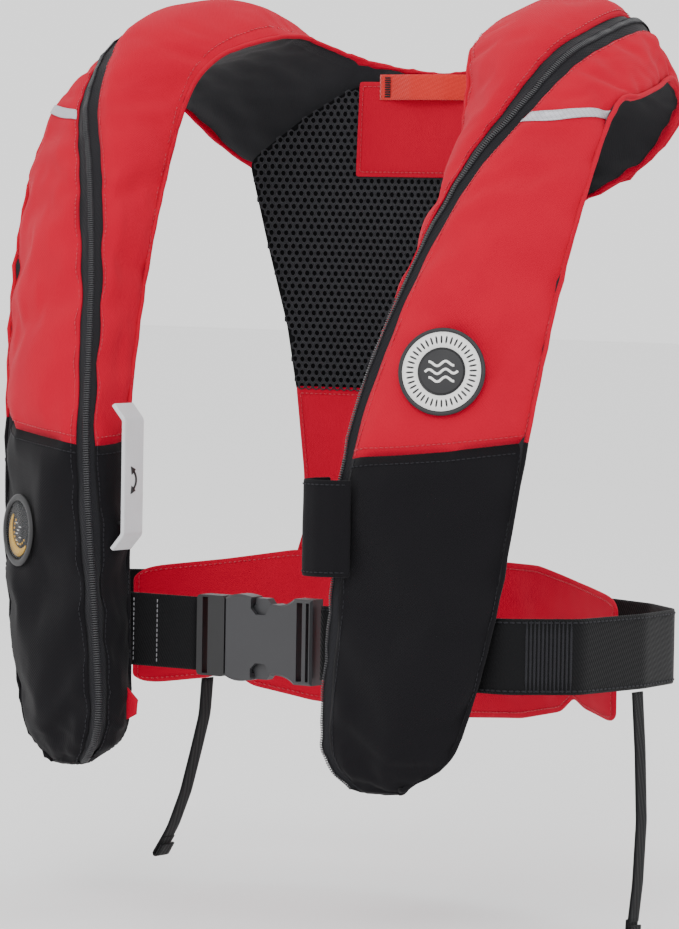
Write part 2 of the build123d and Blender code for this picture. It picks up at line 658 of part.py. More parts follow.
# ---- oral inflation tube, valve, dust cap and whistle in the left lobe ---------------------------
TUBE_X, TUBE_Y = 130.0, -106.0
TUBE_RADIUS = 7.0
TUBE_TOP, TUBE_FOOT = -298.0, -392.0
with BuildPart() as oral_tube:
    with BuildSketch(Plane.XY.offset(TUBE_FOOT)):
        with Locations((TUBE_X, TUBE_Y)):
            Circle(TUBE_RADIUS)
    extrude(amount=TUBE_TOP - TUBE_FOOT)
    with BuildSketch(Plane.XZ.offset(-TUBE_Y)):
        with Locations((TUBE_X, TUBE_TOP - TUBE_RADIUS)):
            Circle(TUBE_RADIUS)
    extrude(amount=-(BODY_BACK - TUBE_Y))
    with BuildSketch(Plane.XZ.offset(-BODY_BACK)):
        with Locations((TUBE_X, TUBE_TOP - TUBE_RADIUS)):
            Circle(2 * TUBE_RADIUS)
    extrude(amount=-1.2)
    with BuildSketch(Plane.XY.offset(TUBE_FOOT)):
        with Locations((TUBE_X, TUBE_Y)):
            Circle(TUBE_RADIUS - 1.6)
    extrude(amount=TUBE_TOP - TUBE_FOOT - TUBE_RADIUS, mode=Mode.SUBTRACT)
save(oral_tube, "oral_tube")

VALVE_FOOT = TUBE_FOOT - 14.0
with BuildPart() as oral_valve_body:
    with BuildSketch(Plane.XY.offset(VALVE_FOOT)):
        with Locations((TUBE_X, TUBE_Y)):
            Circle(7.6)
    extrude(amount=TUBE_FOOT - VALVE_FOOT - 0.1)
    with BuildSketch(Plane.XY.offset(VALVE_FOOT)):
        with Locations((TUBE_X, TUBE_Y)):
            Circle(4.6)
    extrude(amount=TUBE_FOOT - VALVE_FOOT, mode=Mode.SUBTRACT)
save(oral_valve_body, "oral_valve_body")

with BuildPart() as valve_poppet:
    with BuildSketch(Plane.XY.offset(VALVE_FOOT + 1)):
        with Locations((TUBE_X, TUBE_Y)):
            Circle(1.6)
    extrude(amount=10)
    with BuildSketch(Plane.XY.offset(VALVE_FOOT + 5)):
        with Locations((TUBE_X, TUBE_Y)):
            Circle(4.3)
    extrude(amount=2.4)
save(valve_poppet, "valve_poppet")

with BuildPart() as dust_cap:
    with BuildSketch(Plane.XY.offset(VALVE_FOOT - 4)):
        with Locations((TUBE_X, TUBE_Y)):
            Circle(9.4)
    extrude(amount=12)
    with BuildSketch(Plane.XY.offset(VALVE_FOOT - 1.4)):
        with Locations((TUBE_X, TUBE_Y)):
            Circle(7.66)
    extrude(amount=12, mode=Mode.SUBTRACT)
save(dust_cap, "dust_cap")

WHISTLE_X, WHISTLE_Y = 166.0, -99.0
with BuildPart() as whistle:
    with BuildSketch(Plane.XZ.offset(-WHISTLE_Y)):
        with Locations((WHISTLE_X, -345)):
            RectangleRounded(13, 44, 4)
        with Locations((WHISTLE_X, -327)):
            Circle(1.8, mode=Mode.SUBTRACT)
    extrude(amount=4.2, both=True)
    with Locations((WHISTLE_X, WHISTLE_Y, -352)):
        Box(9, 5.4, 22, mode=Mode.SUBTRACT)
    with Locations((WHISTLE_X, WHISTLE_Y - 4, -357)):
        Box(7, 5, 3, mode=Mode.SUBTRACT)
save(whistle, "whistle")

# ---- zip slider and its puller under the flap of the left lobe -----------------------------------
SLIDER_LOW, SLIDER_HIGH = 3, 4
ZIP_LOW = Vector(*STATIONS[SLIDER_LOW][0])
ZIP_UP = (Vector(*STATIONS[SLIDER_HIGH][0]) - ZIP_LOW).normalized()
ZIP_OUT = Vector(-0.52, -0.855, 0)
SLIDER_AT = ZIP_LOW + ZIP_UP * 42 + ZIP_OUT * 4.2
SLIDER_PLANE = Plane(origin=SLIDER_AT, x_dir=ZIP_OUT.cross(ZIP_UP), z_dir=ZIP_OUT)
with BuildPart() as zip_slider:
    with BuildSketch(SLIDER_PLANE):
        Trapezoid(9, 13, 80)
    extrude(amount=3.2)
    with BuildSketch(SLIDER_PLANE.offset(3.2)):
        Rectangle(2.2, 8)
        Rectangle(1.0, 3, mode=Mode.SUBTRACT)
    extrude(amount=2.2)
save(zip_slider, "zip_slider")
with BuildPart() as zip_puller:
    with BuildSketch(SLIDER_PLANE.offset(5.9)):
        with Locations((0, -8)):
            RectangleRounded(6, 17, 1.5)
    extrude(amount=1.4)
save(zip_puller, "zip_puller")

FLAP_FOOT, FLAP_TOP = -335.0, -271.0
with BuildPart() as zip_garage_flap:
    with BuildSketch(Plane.XY.offset(FLAP_FOOT)):
        with BuildLine():
            Polyline((120, -134.5), (110, -143.5), (100, -146.8), (86, -144.5), (82.5, -126),
                     (87, -112), (88.8, -112), (84.4, -126), (87.4, -143), (100.3, -145.1),
                     (109.2, -142), (118.8, -133.3), close=True)
        make_face()
    extrude(amount=FLAP_TOP - FLAP_FOOT)
save(zip_garage_flap, "zip_garage_flap")

with BuildPart() as red_pull_tab:
    with BuildSketch(Plane.XZ.offset(97)):
        with BuildLine():
            Polyline((-87.5, -424), (-79, -432), (-80, -442), (-87.5, -446), close=True)
        make_face()
    extrude(amount=FABRIC)
save(red_pull_tab, "red_pull_tab")
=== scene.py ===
"""Inflatable life jacket: sewn covers, zips, mesh back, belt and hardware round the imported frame.

Everything is in metres in the frame's axes: +Z up the wearer, -Y to the front, +X to the
wearer's left.
"""
import math

import bmesh
import bpy
import numpy as np
from bpy.props import FloatProperty, IntProperty, PointerProperty, StringProperty
from mathutils import Matrix, Vector, noise


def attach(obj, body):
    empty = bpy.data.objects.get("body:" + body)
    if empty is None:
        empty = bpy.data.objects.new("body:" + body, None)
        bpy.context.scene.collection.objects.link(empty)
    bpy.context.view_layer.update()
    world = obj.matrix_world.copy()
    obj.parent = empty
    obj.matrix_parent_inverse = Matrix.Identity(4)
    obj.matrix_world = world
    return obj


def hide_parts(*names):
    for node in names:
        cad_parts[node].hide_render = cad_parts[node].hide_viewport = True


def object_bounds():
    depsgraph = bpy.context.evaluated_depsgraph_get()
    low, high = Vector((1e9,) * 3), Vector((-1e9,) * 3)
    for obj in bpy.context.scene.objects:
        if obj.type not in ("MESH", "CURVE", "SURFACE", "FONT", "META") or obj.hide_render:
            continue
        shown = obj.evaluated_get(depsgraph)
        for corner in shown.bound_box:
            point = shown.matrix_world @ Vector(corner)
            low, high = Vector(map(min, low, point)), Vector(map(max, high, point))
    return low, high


bl_info = {
    "name": "Inflatable life jacket",
    "version": (1, 0, 0),
    "blender": (4, 5, 0),
    "location": "View3D > Sidebar > Life Jacket",
    "description": "Builds the life jacket's sewn covers, webbing and finishes round its frame",
    "category": "Object",
}

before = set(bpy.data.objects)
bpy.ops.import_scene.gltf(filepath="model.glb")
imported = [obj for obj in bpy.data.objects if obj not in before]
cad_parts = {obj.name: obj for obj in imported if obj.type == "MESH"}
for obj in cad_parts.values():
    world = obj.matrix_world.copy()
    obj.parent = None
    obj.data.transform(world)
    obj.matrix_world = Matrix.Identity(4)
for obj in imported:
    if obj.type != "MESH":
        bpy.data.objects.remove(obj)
CAD_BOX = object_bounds()
MM = 0.001

# The lobe's pattern, in mm on the wearer's left side, from the bottom of the lobe over the
# shoulder to the middle of the back: zip line, outer edge, neck edge, then how far the front
# and the inner cover bow out.
PATTERN = [
    ((108, -119, -477), (146, -108, -477), (110, -107, -477), 2, 1),
    ((94, -126, -460), (173, -98, -460), (95, -92, -460), 8, 2),
    ((90, -127, -433), (186, -92, -433), (91, -88, -433), 13, 4),
    ((96, -127, -360), (203, -84, -360), (95, -85, -360), 16, 5),
    ((104, -128, -258), (217, -70, -245), (101, -81, -256), 15, 5),
    ((126, -96, -150), (227, -52, -150), (112, -49, -150), 14, 6),
    ((151, -67, -77), (233, -25, -75), (119, -17, -77), 12, 8),
    ((179, -36, -27), (232, 8, -25), (115, 2, -22), 8, 12),
    ((193, 0, 8), (232, 36, -19), (106, 16, 3), 6, 16),
    ((200, 37, 26), (227, 68, -12), (95, 40, 17), 6, 19),
    ((200, 82, 37), (219, 98, -6), (84, 86, 26), 6, 20),
    ((188, 118, 24), (207, 126, -30), (76, 116, 20), 8, 20),
    ((150, 150, 0), (164, 142, -66), (60, 142, 10), 10, 16),
    ((80, 172, -20), (88, 158, -94), (30, 146, 5), 10, 12),
    ((0, 180, -26), (0, 162, -104), (0, 148, 2), 10, 10),
]
COLOUR_SEAM = 4          # pattern row where the lower covers meet the upper ones
GAP_STEPS = 8            # rings laid between two pattern rows
DRAFT_STEPS = 4
CLOTH_OF = {"lower": "black_nylon", "upper": "red_nylon"}
THREAD_OF = {"lower": "black_thread", "upper": "red_thread"}
STITCH_PITCH = 0.0034    # from one stitch to the next along most seams
STITCH_WIDTH = 0.0008    # thickness of the sewing thread, drawn a little thick to show
FORWARD = (0.0, -1.0, 0.0)
UPWARD = (0.0, 0.0, 1.0)


# ---- user settings -------------------------------------------------------------------------
def length_setting(name, description, default):
    """A length in metres."""
    return FloatProperty(name=name, description=description, default=default, unit="LENGTH",
                         precision=4)


def hex_setting(name, description, default):
    """A colour as sRGB hex."""
    return StringProperty(name=name, description=description, default=default)


class JacketSizes(bpy.types.PropertyGroup):
    """Sizes of the cloth, zip, webbing and stitches."""
    zip_half: length_setting("Zip half width", "From the teeth to the edge of the cover", 0.0085)
    cloth: length_setting("Cloth", "Thickness of the cover cloth", 0.0012)
    stitch: length_setting("Stitch", "Length of one stitch", 0.0026)
    tooth_pitch: length_setting("Tooth pitch", "Distance between two zip teeth", 0.0016)
    mesh_pitch: length_setting("Mesh pitch", "Distance between two holes of the mesh", 0.005512)
    puff: FloatProperty(name="Puff", description="Air pressure while the covers are filled",
                        default=2.4)
    slack: FloatProperty(name="Slack", description="Extra cloth in the covers, as a share",
                         default=0.035, subtype="FACTOR")
    settle_frames: IntProperty(name="Settle frames", description="Steps of the cloth simulation",
                               default=20)


class JacketColours(bpy.types.PropertyGroup):
    """Colours of the cloth, webbing and fittings."""
    red: hex_setting("Red cloth", "Upper covers, yoke, hip pad", "#B40027")
    black: hex_setting("Black cloth", "Lower covers", "#111013")
    lining: hex_setting("Lining", "Smooth cloth against the wearer", "#222225")
    mesh: hex_setting("Mesh", "Spacer mesh of the back", "#303034")
    tape: hex_setting("Zip tape", "Woven tape of the zip", "#1E1E21")
    webbing: hex_setting("Webbing", "Waist belt and tails", "#0C0C0E")
    loop: hex_setting("Loop", "Hanging loop", "#C8261F")
    silver: hex_setting("Silver", "Reflective strips", "#B9B9C0")
    acetal: hex_setting("Buckle", "Moulded buckle", "#2A2A2D")


class JacketSettings(bpy.types.PropertyGroup):
    """All settings of the life jacket."""
    sizes: PointerProperty(type=JacketSizes)
    colours: PointerProperty(type=JacketColours)


def sizes():
    """The sizes in use."""
    return bpy.context.scene.life_jacket.sizes


def colours():
    """The colours in use."""
    return bpy.context.scene.life_jacket.colours


# ---- materials ---------------------------------------------------------------------------------
def linear(hex_colour, strength=1.0):
    """Linear RGBA of an sRGB hex colour."""
    values = [int(hex_colour[i:i + 2], 16) / 255 for i in (1, 3, 5)]
    bent = [v / 12.92 if v <= 0.04045 else ((v + 0.055) / 1.055) ** 2.4 for v in values]
    return (*(min(1.0, v * strength) for v in bent), 1.0)


def add_node(tree, kind, settings=None, links=None):
    """A node with its settings and socket values, fed by the sockets given in links."""
    node = tree.nodes.new(kind)
    for key, value in (settings or {}).items():
        if isinstance(key, int) or not hasattr(node, key):
            node.inputs[key].default_value = value
        else:
            setattr(node, key, value)
    for key, socket in (links or {}).items():
        tree.links.new(socket, node.inputs[key])
    return node


def new_material(name):
    """An empty material with its output, ready for a shader."""
    material = bpy.data.materials.new(name)
    material.use_nodes = True
    tree = material.node_tree
    tree.nodes.clear()
    return material, tree, tree.nodes.new("ShaderNodeOutputMaterial")


def mottled(tree, where, colour, scale, dark, light):
    """The colour varied softly between a darker and a lighter tone."""
    spots = add_node(tree, "ShaderNodeTexNoise", {"Scale": scale, "Detail": 4.0, "Roughness": 0.6},
                     {"Vector": where})
    mix = add_node(tree, "ShaderNodeMix", {"data_type": "RGBA"}, {0: spots.outputs["Fac"]})
    mix.inputs[6].default_value = linear(colour, dark)
    mix.inputs[7].default_value = linear(colour, light)
    return mix.outputs[2]


def woven(name, colour, thread, depth, roughness=0.9, sheen=0.04, twill=0.0, dark=0.86,
          light=1.1):
    """Woven cloth: over and under threads on the piece's own UV map, in metres.

    thread is the drawn thread spacing, depth the height of the threads, and twill the share
    by which each row is moved along.
    """
    material, tree, output = new_material(name)
    uv = add_node(tree, "ShaderNodeUVMap", {"uv_map": "cloth"}).outputs["UV"]
    split = add_node(tree, "ShaderNodeSeparateXYZ", {}, {0: uv})
    turn = math.pi / thread
    lean = add_node(tree, "ShaderNodeMath", {"operation": "MULTIPLY_ADD", 1: twill},
                    {0: split.outputs["Y"], 2: split.outputs["X"]})
    along = add_node(tree, "ShaderNodeMath", {"operation": "MULTIPLY", 1: turn},
                     {0: lean.outputs[0]})
    across = add_node(tree, "ShaderNodeMath", {"operation": "MULTIPLY", 1: turn},
                      {0: split.outputs["Y"]})
    warp = add_node(tree, "ShaderNodeMath", {"operation": "SINE"}, {0: along.outputs[0]})
    weft = add_node(tree, "ShaderNodeMath", {"operation": "SINE"}, {0: across.outputs[0]})
    weave = add_node(tree, "ShaderNodeMath", {"operation": "MULTIPLY"},
                     {0: warp.outputs[0], 1: weft.outputs[0]})
    where = add_node(tree, "ShaderNodeTexCoord").outputs["Object"]
    slub = add_node(tree, "ShaderNodeTexNoise", {"Scale": 900.0, "Detail": 2.0}, {"Vector": where})
    soft = add_node(tree, "ShaderNodeTexNoise", {"Scale": 28.0, "Detail": 3.0}, {"Vector": where})
    relief = add_node(tree, "ShaderNodeMath", {"operation": "MULTIPLY_ADD", 1: 0.8},
                      {0: slub.outputs["Fac"], 2: weave.outputs[0]})
    fine = add_node(tree, "ShaderNodeBump", {"Strength": 0.55, "Distance": depth},
                    {"Height": relief.outputs[0]})
    broad = add_node(tree, "ShaderNodeBump", {"Strength": 0.35, "Distance": 0.0016},
                     {"Height": soft.outputs["Fac"], "Normal": fine.outputs[0]})
    shader = add_node(tree, "ShaderNodeBsdfPrincipled",
                      {"Roughness": roughness, "Sheen Weight": sheen, "Sheen Roughness": 0.5,
                       "Specular IOR Level": 0.1},
                      {"Base Color": mottled(tree, where, colour, 14.0, dark, light),
                       "Normal": broad.outputs[0]})
    tree.links.new(shader.outputs[0], output.inputs["Surface"])
    return material


def moulded(name, colour, roughness=0.45, grain=0.00008, scale=1400.0, coat=0.0):
    """Injection moulded plastic with the fine spark-eroded grain of its mould."""
    material, tree, output = new_material(name)
    where = add_node(tree, "ShaderNodeTexCoord").outputs["Object"]
    pits = add_node(tree, "ShaderNodeTexNoise", {"Scale": scale, "Detail": 3.0}, {"Vector": where})
    wear = add_node(tree, "ShaderNodeTexNoise", {"Scale": 60.0, "Detail": 5.0}, {"Vector": where})
    rough = add_node(tree, "ShaderNodeMapRange", {3: roughness - 0.08, 4: roughness + 0.1},
                     {0: wear.outputs["Fac"]})
    bump = add_node(tree, "ShaderNodeBump", {"Strength": 0.5, "Distance": grain},
                    {"Height": pits.outputs["Fac"]})
    shader = add_node(tree, "ShaderNodeBsdfPrincipled", {"Coat Weight": coat},
                      {"Base Color": mottled(tree, where, colour, 40.0, 0.88, 1.1),
                       "Roughness": rough.outputs[0], "Normal": bump.outputs[0]})
    tree.links.new(shader.outputs[0], output.inputs["Surface"])
    return material


def brushed(name, colour, roughness=0.32):
    """Plated or brushed metal, drawn along its length."""
    material, tree, output = new_material(name)
    where = add_node(tree, "ShaderNodeTexCoord").outputs["Object"]
    drawn = add_node(tree, "ShaderNodeMapping", {"Scale": (900.0, 900.0, 40.0)},
                     {"Vector": where})
    lines = add_node(tree, "ShaderNodeTexNoise", {"Scale": 1.0, "Detail": 3.0},
                     {"Vector": drawn.outputs[0]})
    bump = add_node(tree, "ShaderNodeBump", {"Strength": 0.3, "Distance": 0.00004},
                    {"Height": lines.outputs["Fac"]})
    shader = add_node(tree, "ShaderNodeBsdfPrincipled",
                      {"Metallic": 1.0, "Roughness": roughness},
                      {"Base Color": mottled(tree, where, colour, 60.0, 0.85, 1.1),
                       "Normal": bump.outputs[0]})
    tree.links.new(shader.outputs[0], output.inputs["Surface"])
    return material


def clear_film(name, colour, alpha):
    """Clear flexible PVC, glossy, with a faint ripple."""
    material, tree, output = new_material(name)
    where = add_node(tree, "ShaderNodeTexCoord").outputs["Object"]
    ripple = add_node(tree, "ShaderNodeTexNoise", {"Scale": 60.0, "Detail": 0.0},
                      {"Vector": where})
    bump = add_node(tree, "ShaderNodeBump", {"Strength": 0.1, "Distance": 0.0003},
                    {"Height": ripple.outputs["Fac"]})
    shader = add_node(tree, "ShaderNodeBsdfPrincipled",
                      {"Base Color": linear(colour), "Roughness": 0.12, "IOR": 1.5,
                       "Alpha": alpha},
                      {"Normal": bump.outputs[0]})
    tree.links.new(shader.outputs[0], output.inputs["Surface"])
    return material


def reflective_cloth(name, colour):
    """Glass bead tape pressed with a fine diamond grid, 2.2 mm between the lines."""
    material, tree, output = new_material(name)
    uv = add_node(tree, "ShaderNodeUVMap", {"uv_map": "cloth"}).outputs["UV"]
    turned = add_node(tree, "ShaderNodeMapping", {"Rotation": (0, 0, math.radians(45)),
                                                  "Scale": (1 / 0.0022, 1 / 0.0022, 1)},
                      {"Vector": uv})
    grid = add_node(tree, "ShaderNodeTexBrick",
                    {"Scale": 1.0, "Mortar Size": 0.06, "Brick Width": 1.0, "Row Height": 1.0,
                     "offset": 0.0, "Color1": linear(colour), "Color2": linear(colour, 0.93),
                     "Mortar": linear(colour, 0.62)},
                    {"Vector": turned.outputs[0]})
    shader = add_node(tree, "ShaderNodeBsdfPrincipled",
                      {"Roughness": 0.42, "Metallic": 0.25, "Specular IOR Level": 0.6},
                      {"Base Color": grid.outputs["Color"]})
    tree.links.new(shader.outputs[0], output.inputs["Surface"])
    return material


MATERIALS = {}


def finish(name):
    """A finish of the jacket, made the first time it is asked for."""
    if name not in MATERIALS:
        c = colours()
        makers = {
            # Woven nylon, dyed and urethane backed: matt, fine plain weave with soft creases.
            "red_nylon": lambda: woven("woven_red_nylon", c.red, 0.0011, 0.00016),
            "black_nylon": lambda: woven("woven_black_nylon", c.black, 0.0011, 0.00016, 0.8),
            # Smooth packcloth: finer and a little shinier than the cover cloth.
            "lining": lambda: woven("smooth_packcloth", c.lining, 0.0008, 0.00008, 0.7, 0.12),
            # Knitted polyester spacer mesh: dull, a little fluffy round its holes.
            "mesh": lambda: woven("knitted_spacer_mesh", c.mesh, 0.0007, 0.0002, 0.85, 0.12),
            # The mesh's far face, in the shade of its holes: nearly black and quite matt.
            "backing": lambda: woven("mesh_backing_cloth", "#08080A", 0.0009, 0.0001, 0.9, 0.02),
            # Herringbone polyester tape: flat, with a slight sheen where it turns.
            "tape": lambda: woven("woven_zip_tape", c.tape, 0.0013, 0.0002, 0.75, 0.1, 0.5),
            # Heavy polyester webbing: herringbone of thick yarns, visible from a distance.
            "webbing": lambda: woven("woven_polyester_webbing", c.webbing, 0.0019, 0.0003, 0.7,
                                     0.08, 0.8, 0.8, 1.3),
            # Soft nylon webbing: brighter than the cover cloth, with a nap that catches light.
            "loop": lambda: woven("woven_nylon_loop", c.loop, 0.0016, 0.0003, 0.7, 0.3, 0.6),
            # Bonded sewing thread: smooth, a little glossier than the cloth it sits on.
            "red_thread": lambda: woven("bonded_red_thread", c.red, 0.0006, 0.0001, 0.55, 0.3),
            "black_thread": lambda: woven("bonded_black_thread", "#26262A", 0.0006, 0.0001, 0.5),
            "grey_thread": lambda: woven("bonded_grey_thread", "#8C8C90", 0.0006, 0.0001, 0.55),
            # Glass beads on cloth: silvery grey, pressed with a fine grid.
            "reflective": lambda: reflective_cloth("glass_bead_tape", c.silver),
            # Acetal from a spark-eroded mould: satin, even, slightly worn on its edges.
            "acetal": lambda: moulded("moulded_acetal", c.acetal, 0.42),
            "black_acetal": lambda: moulded("moulded_black_acetal", "#111113", 0.48),
            # Moulded nylon: the zip's teeth are polished by the slider, the fittings stay satin.
            "coil": lambda: moulded("moulded_zip_coil", "#2B2B2E", 0.35),
            "black_plastic": lambda: moulded("moulded_black_nylon", "#19191B", 0.5),
            # Soft moulded PVC: even colour with a dull skin.
            "badge_dark": lambda: moulded("moulded_soft_pvc_dark", "#17171A", 0.55),
            "badge_white": lambda: moulded("moulded_soft_pvc_white", "#E9E9E7", 0.5),
            # Pigmented nylon and ABS from polished moulds: smooth with a clear highlight.
            "handle": lambda: moulded("moulded_silver_nylon", "#C9CACD", 0.34, coat=0.15),
            "yellow_plastic": lambda: moulded("moulded_yellow_nylon", "#D9A82E", 0.4, coat=0.2),
            "orange_plastic": lambda: moulded("moulded_orange_abs", "#E0661C", 0.35, coat=0.2),
            # Zinc-plated steel, drawn: soft grey reflections along its length.
            "steel": lambda: brushed("plated_steel", "#A6A7AB"),
            "cylinder": lambda: brushed("lacquered_zinc_steel", "#A9AAA6", 0.42),
            # Coated bladder cloth: yellow, shinier than the covers, with a faint weave.
            "film": lambda: woven("urethane_coated_nylon", "#E29A1F", 0.0011, 0.00008, 0.4),
            # Clear PVC sheet: seen mostly by its gloss.
            "lens": lambda: clear_film("clear_pvc_film", "#3A3C3E", 0.12),
            # Seal rubber: black and dull.
            "rubber": lambda: moulded("moulded_epdm_seal", "#111112", 0.65),
            # Braided polyester cord: coarse bumps of its strands, no shine.
            "cord": lambda: moulded("braided_black_cord", "#141416", 0.7, 0.0003, 700.0),
        }
        MATERIALS[name] = makers[name]()
    return MATERIALS[name]


# ---- shape of the lobes -----------------------------------------------------------------------
def smooth_rows(rows, count):
    """Rows of points run smoothly through the given ones: count points for each gap."""
    rows = np.asarray(rows, float)
    last = len(rows) - 1
    out = []
    for i in range(last):
        before = rows[max(i - 1, 0)]
        after = rows[min(i + 2, last)]
        a, b = rows[i], rows[i + 1]
        for k in range(count):
            t = k / count
            out.append(0.5 * (2 * a + (b - before) * t + (2 * before - 5 * a + 4 * b - after) * t * t
                              + (3 * a - before - 3 * b + after) * t ** 3))
    out.append(rows[-1])
    return np.array(out)


def unit(vector):
    """The vector scaled to length one."""
    return vector / np.linalg.norm(vector)


def units(vectors):
    """Each row of vectors scaled to length one."""
    return vectors / np.maximum(np.linalg.norm(vectors, axis=-1, keepdims=True), 1e-12)


def run_of(path):
    """Distance along a path to each of its points."""
    return np.concatenate([[0], np.cumsum(np.linalg.norm(np.diff(path, axis=0), axis=1))])


def pattern_row(index):
    """One pattern row as a flat array of numbers."""
    zip_at, outer, neck, front, inner = PATTERN[index]
    return np.concatenate([zip_at, outer, neck, (front, inner)]).astype(float)


def section_of(row):
    """Zip, outer and neck points, the two section axes and the bows of one pattern row."""
    zip_at, outer, neck = row[0:3], row[3:6], row[6:9]
    across = unit(outer - neck)
    normal = unit(np.cross(across, zip_at - neck))
    inward = np.cross(normal, across)
    return zip_at, outer, neck, across, inward, row[9], row[10]


def bowed(start, end, rise, share, lift=0.0):
    """Points bowed out from the line between two points of a section."""
    along = unit(end - start)
    left = np.array([-along[1], along[0]])
    share = np.atleast_1d(share)[:, None]
    return start + (end - start) * share + left * (4 * rise * share * (1 - share) + lift)


class Lobe:
    """One half of the jacket as rings of points round its body, in mm.

    Each ring runs neck seam, inner cover, zip, front cover, outer edge and back along the
    lining. way is +1 for the wearer's left and -1 for the right.
    """

    INNER = 12       # steps across the inner cover
    BAND = 5         # steps across the zip band
    FRONT = 20       # steps across the front cover
    LINING = 12      # steps across the lining
    MOST_CUT = 0.4   # largest share of a cover that the zip band takes
    HOLLOW = 3.0     # how far the lining bows in, in mm

    def __init__(self, way, gap_steps=GAP_STEPS):
        self.way = way
        self.gap_steps = gap_steps
        rows = smooth_rows([pattern_row(k) for k in range(len(PATTERN))], gap_steps)
        self.stations = [self.ring(row) for row in rows]
        self.count = len(self.stations[0])
        self.seam = COLOUR_SEAM * gap_steps

    def ring(self, row):
        """One closed ring of points of the lobe."""
        zip_at, outer, neck, across, inward, front, inner = section_of(row)
        corner = np.array([(zip_at - neck) @ across, (zip_at - neck) @ inward])
        edge = np.array([np.linalg.norm(outer - neck), 0.0])
        half = sizes().zip_half / MM
        cut_front = min(self.MOST_CUT, half / np.linalg.norm(edge - corner))
        cut_inner = min(self.MOST_CUT, half / np.linalg.norm(corner))
        inside = bowed(np.zeros(2), corner, inner, np.linspace(0.0, 1 - cut_inner, self.INNER + 1))
        outside = bowed(corner, edge, front, np.linspace(cut_front, 1.0, self.FRONT + 1))
        turn = np.linspace(0, 1, self.BAND + 1)[1:-1][:, None]
        a, b = inside[-1], outside[0]
        peak = corner * 0.92 + (a + b) * 0.04
        band = (1 - turn) ** 2 * a + 2 * turn * (1 - turn) * peak + turn ** 2 * b
        share = np.linspace(1, 0, self.LINING + 1)[1:-1][:, None]
        lining = edge * share + np.array([0.0, -1.0]) * self.HOLLOW * (4 * share * (1 - share))
        flat = np.vstack([inside, band, outside, lining])
        points = neck + flat[:, :1] * across + flat[:, 1:] * inward
        points[:, 0] *= self.way
        return points

    def columns(self, part):
        """First and last ring index of a part, both inclusive; lining closes to the start."""
        a = self.INNER
        b = a + self.BAND
        c = b + self.FRONT
        return {"inner": (0, a), "band": (a, b), "front": (b, c),
                "lining": (c, c + self.LINING)}[part]


def surface_object(name, points, faces, uvs=None):
    """A mesh object at the origin, from points in metres and faces of their indices."""
    data = bpy.data.meshes.new(name)
    data.from_pydata([tuple(p) for p in points], [], faces)
    if uvs is not None:
        layer = data.uv_layers.new(name="cloth")
        flat = np.empty(len(data.loops), int)
        data.loops.foreach_get("vertex_index", flat)
        layer.data.foreach_set("uv", np.asarray(uvs, float)[flat].ravel())
    data.update()
    thing = bpy.data.objects.new(name, data)
    bpy.context.scene.collection.objects.link(thing)
    return thing


def shade(thing, *materials):
    """Give a piece its finishes and smooth faces."""
    thing.data.materials.clear()
    for material in materials:
        thing.data.materials.append(material)
    thing.data.polygons.foreach_set("use_smooth", [True] * len(thing.data.polygons))
    return thing


def grid_faces(rows, cols, flip=False, closed=False):
    """Quads of a grid of rows by cols points, optionally closed round its columns."""
    faces = []
    for i in range(rows - 1):
        for j in range(cols if closed else cols - 1):
            k = (j + 1) % cols
            quad = (i * cols + j, i * cols + k, (i + 1) * cols + k, (i + 1) * cols + j)
            faces.append(quad[::-1] if flip else quad)
    return faces


def capped(rows, cols):
    """Faces of a closed tube of rows rings of cols points, with both its ends."""
    return [*grid_faces(rows, cols, closed=True), tuple(range(cols))[::-1],
            tuple((rows - 1) * cols + k for k in range(cols))]


def smoothed(thing, boundary="ALL"):
    """Add one subdivision to a piece."""
    smooth = thing.modifiers.new("smooth", "SUBSURF")
    smooth.levels = smooth.render_levels = 1
    smooth.boundary_smooth = boundary
    return thing


def thickened(thing, thickness, offset=0.0):
    """Add a wall to a sheet: offset 0 is on both sides, -1 behind its face."""
    wall = thing.modifiers.new("cloth", "SOLIDIFY")
    wall.thickness = thickness
    wall.offset = offset
    return thing


def apply_modifiers(thing):
    """Turn the evaluated object into its plain mesh and drop the modifiers."""
    bpy.context.view_layer.update()
    graph = bpy.context.evaluated_depsgraph_get()
    data = bpy.data.meshes.new_from_object(thing.evaluated_get(graph))
    data.name = thing.name
    thing.modifiers.clear()
    thing.data = data
    return thing


def grid_uv(points):
    """UV in metres over a grid of points: distance across and along the cloth."""
    rows, cols = points.shape[:2]
    across = np.zeros((rows, cols))
    across[:, 1:] = np.cumsum(np.linalg.norm(np.diff(points, axis=1), axis=2), axis=1)
    along = np.zeros((rows, cols))
    middle = points[:, cols // 2]
    along[1:] = np.cumsum(np.linalg.norm(np.diff(middle, axis=0), axis=1))[:, None]
    return np.stack([across, along], axis=2).reshape(-1, 2)


def cloth_grid(name, points, flip=False):
    """A sheet through a grid of points, with its cloth UV."""
    return surface_object(name, points.reshape(-1, 3), grid_faces(*points.shape[:2], flip),
                          grid_uv(points))


# ---- the air-filled covers --------------------------------------------------------------------
MOST_SHIFT = 0.008       # how far the simulation may move a point of the covers


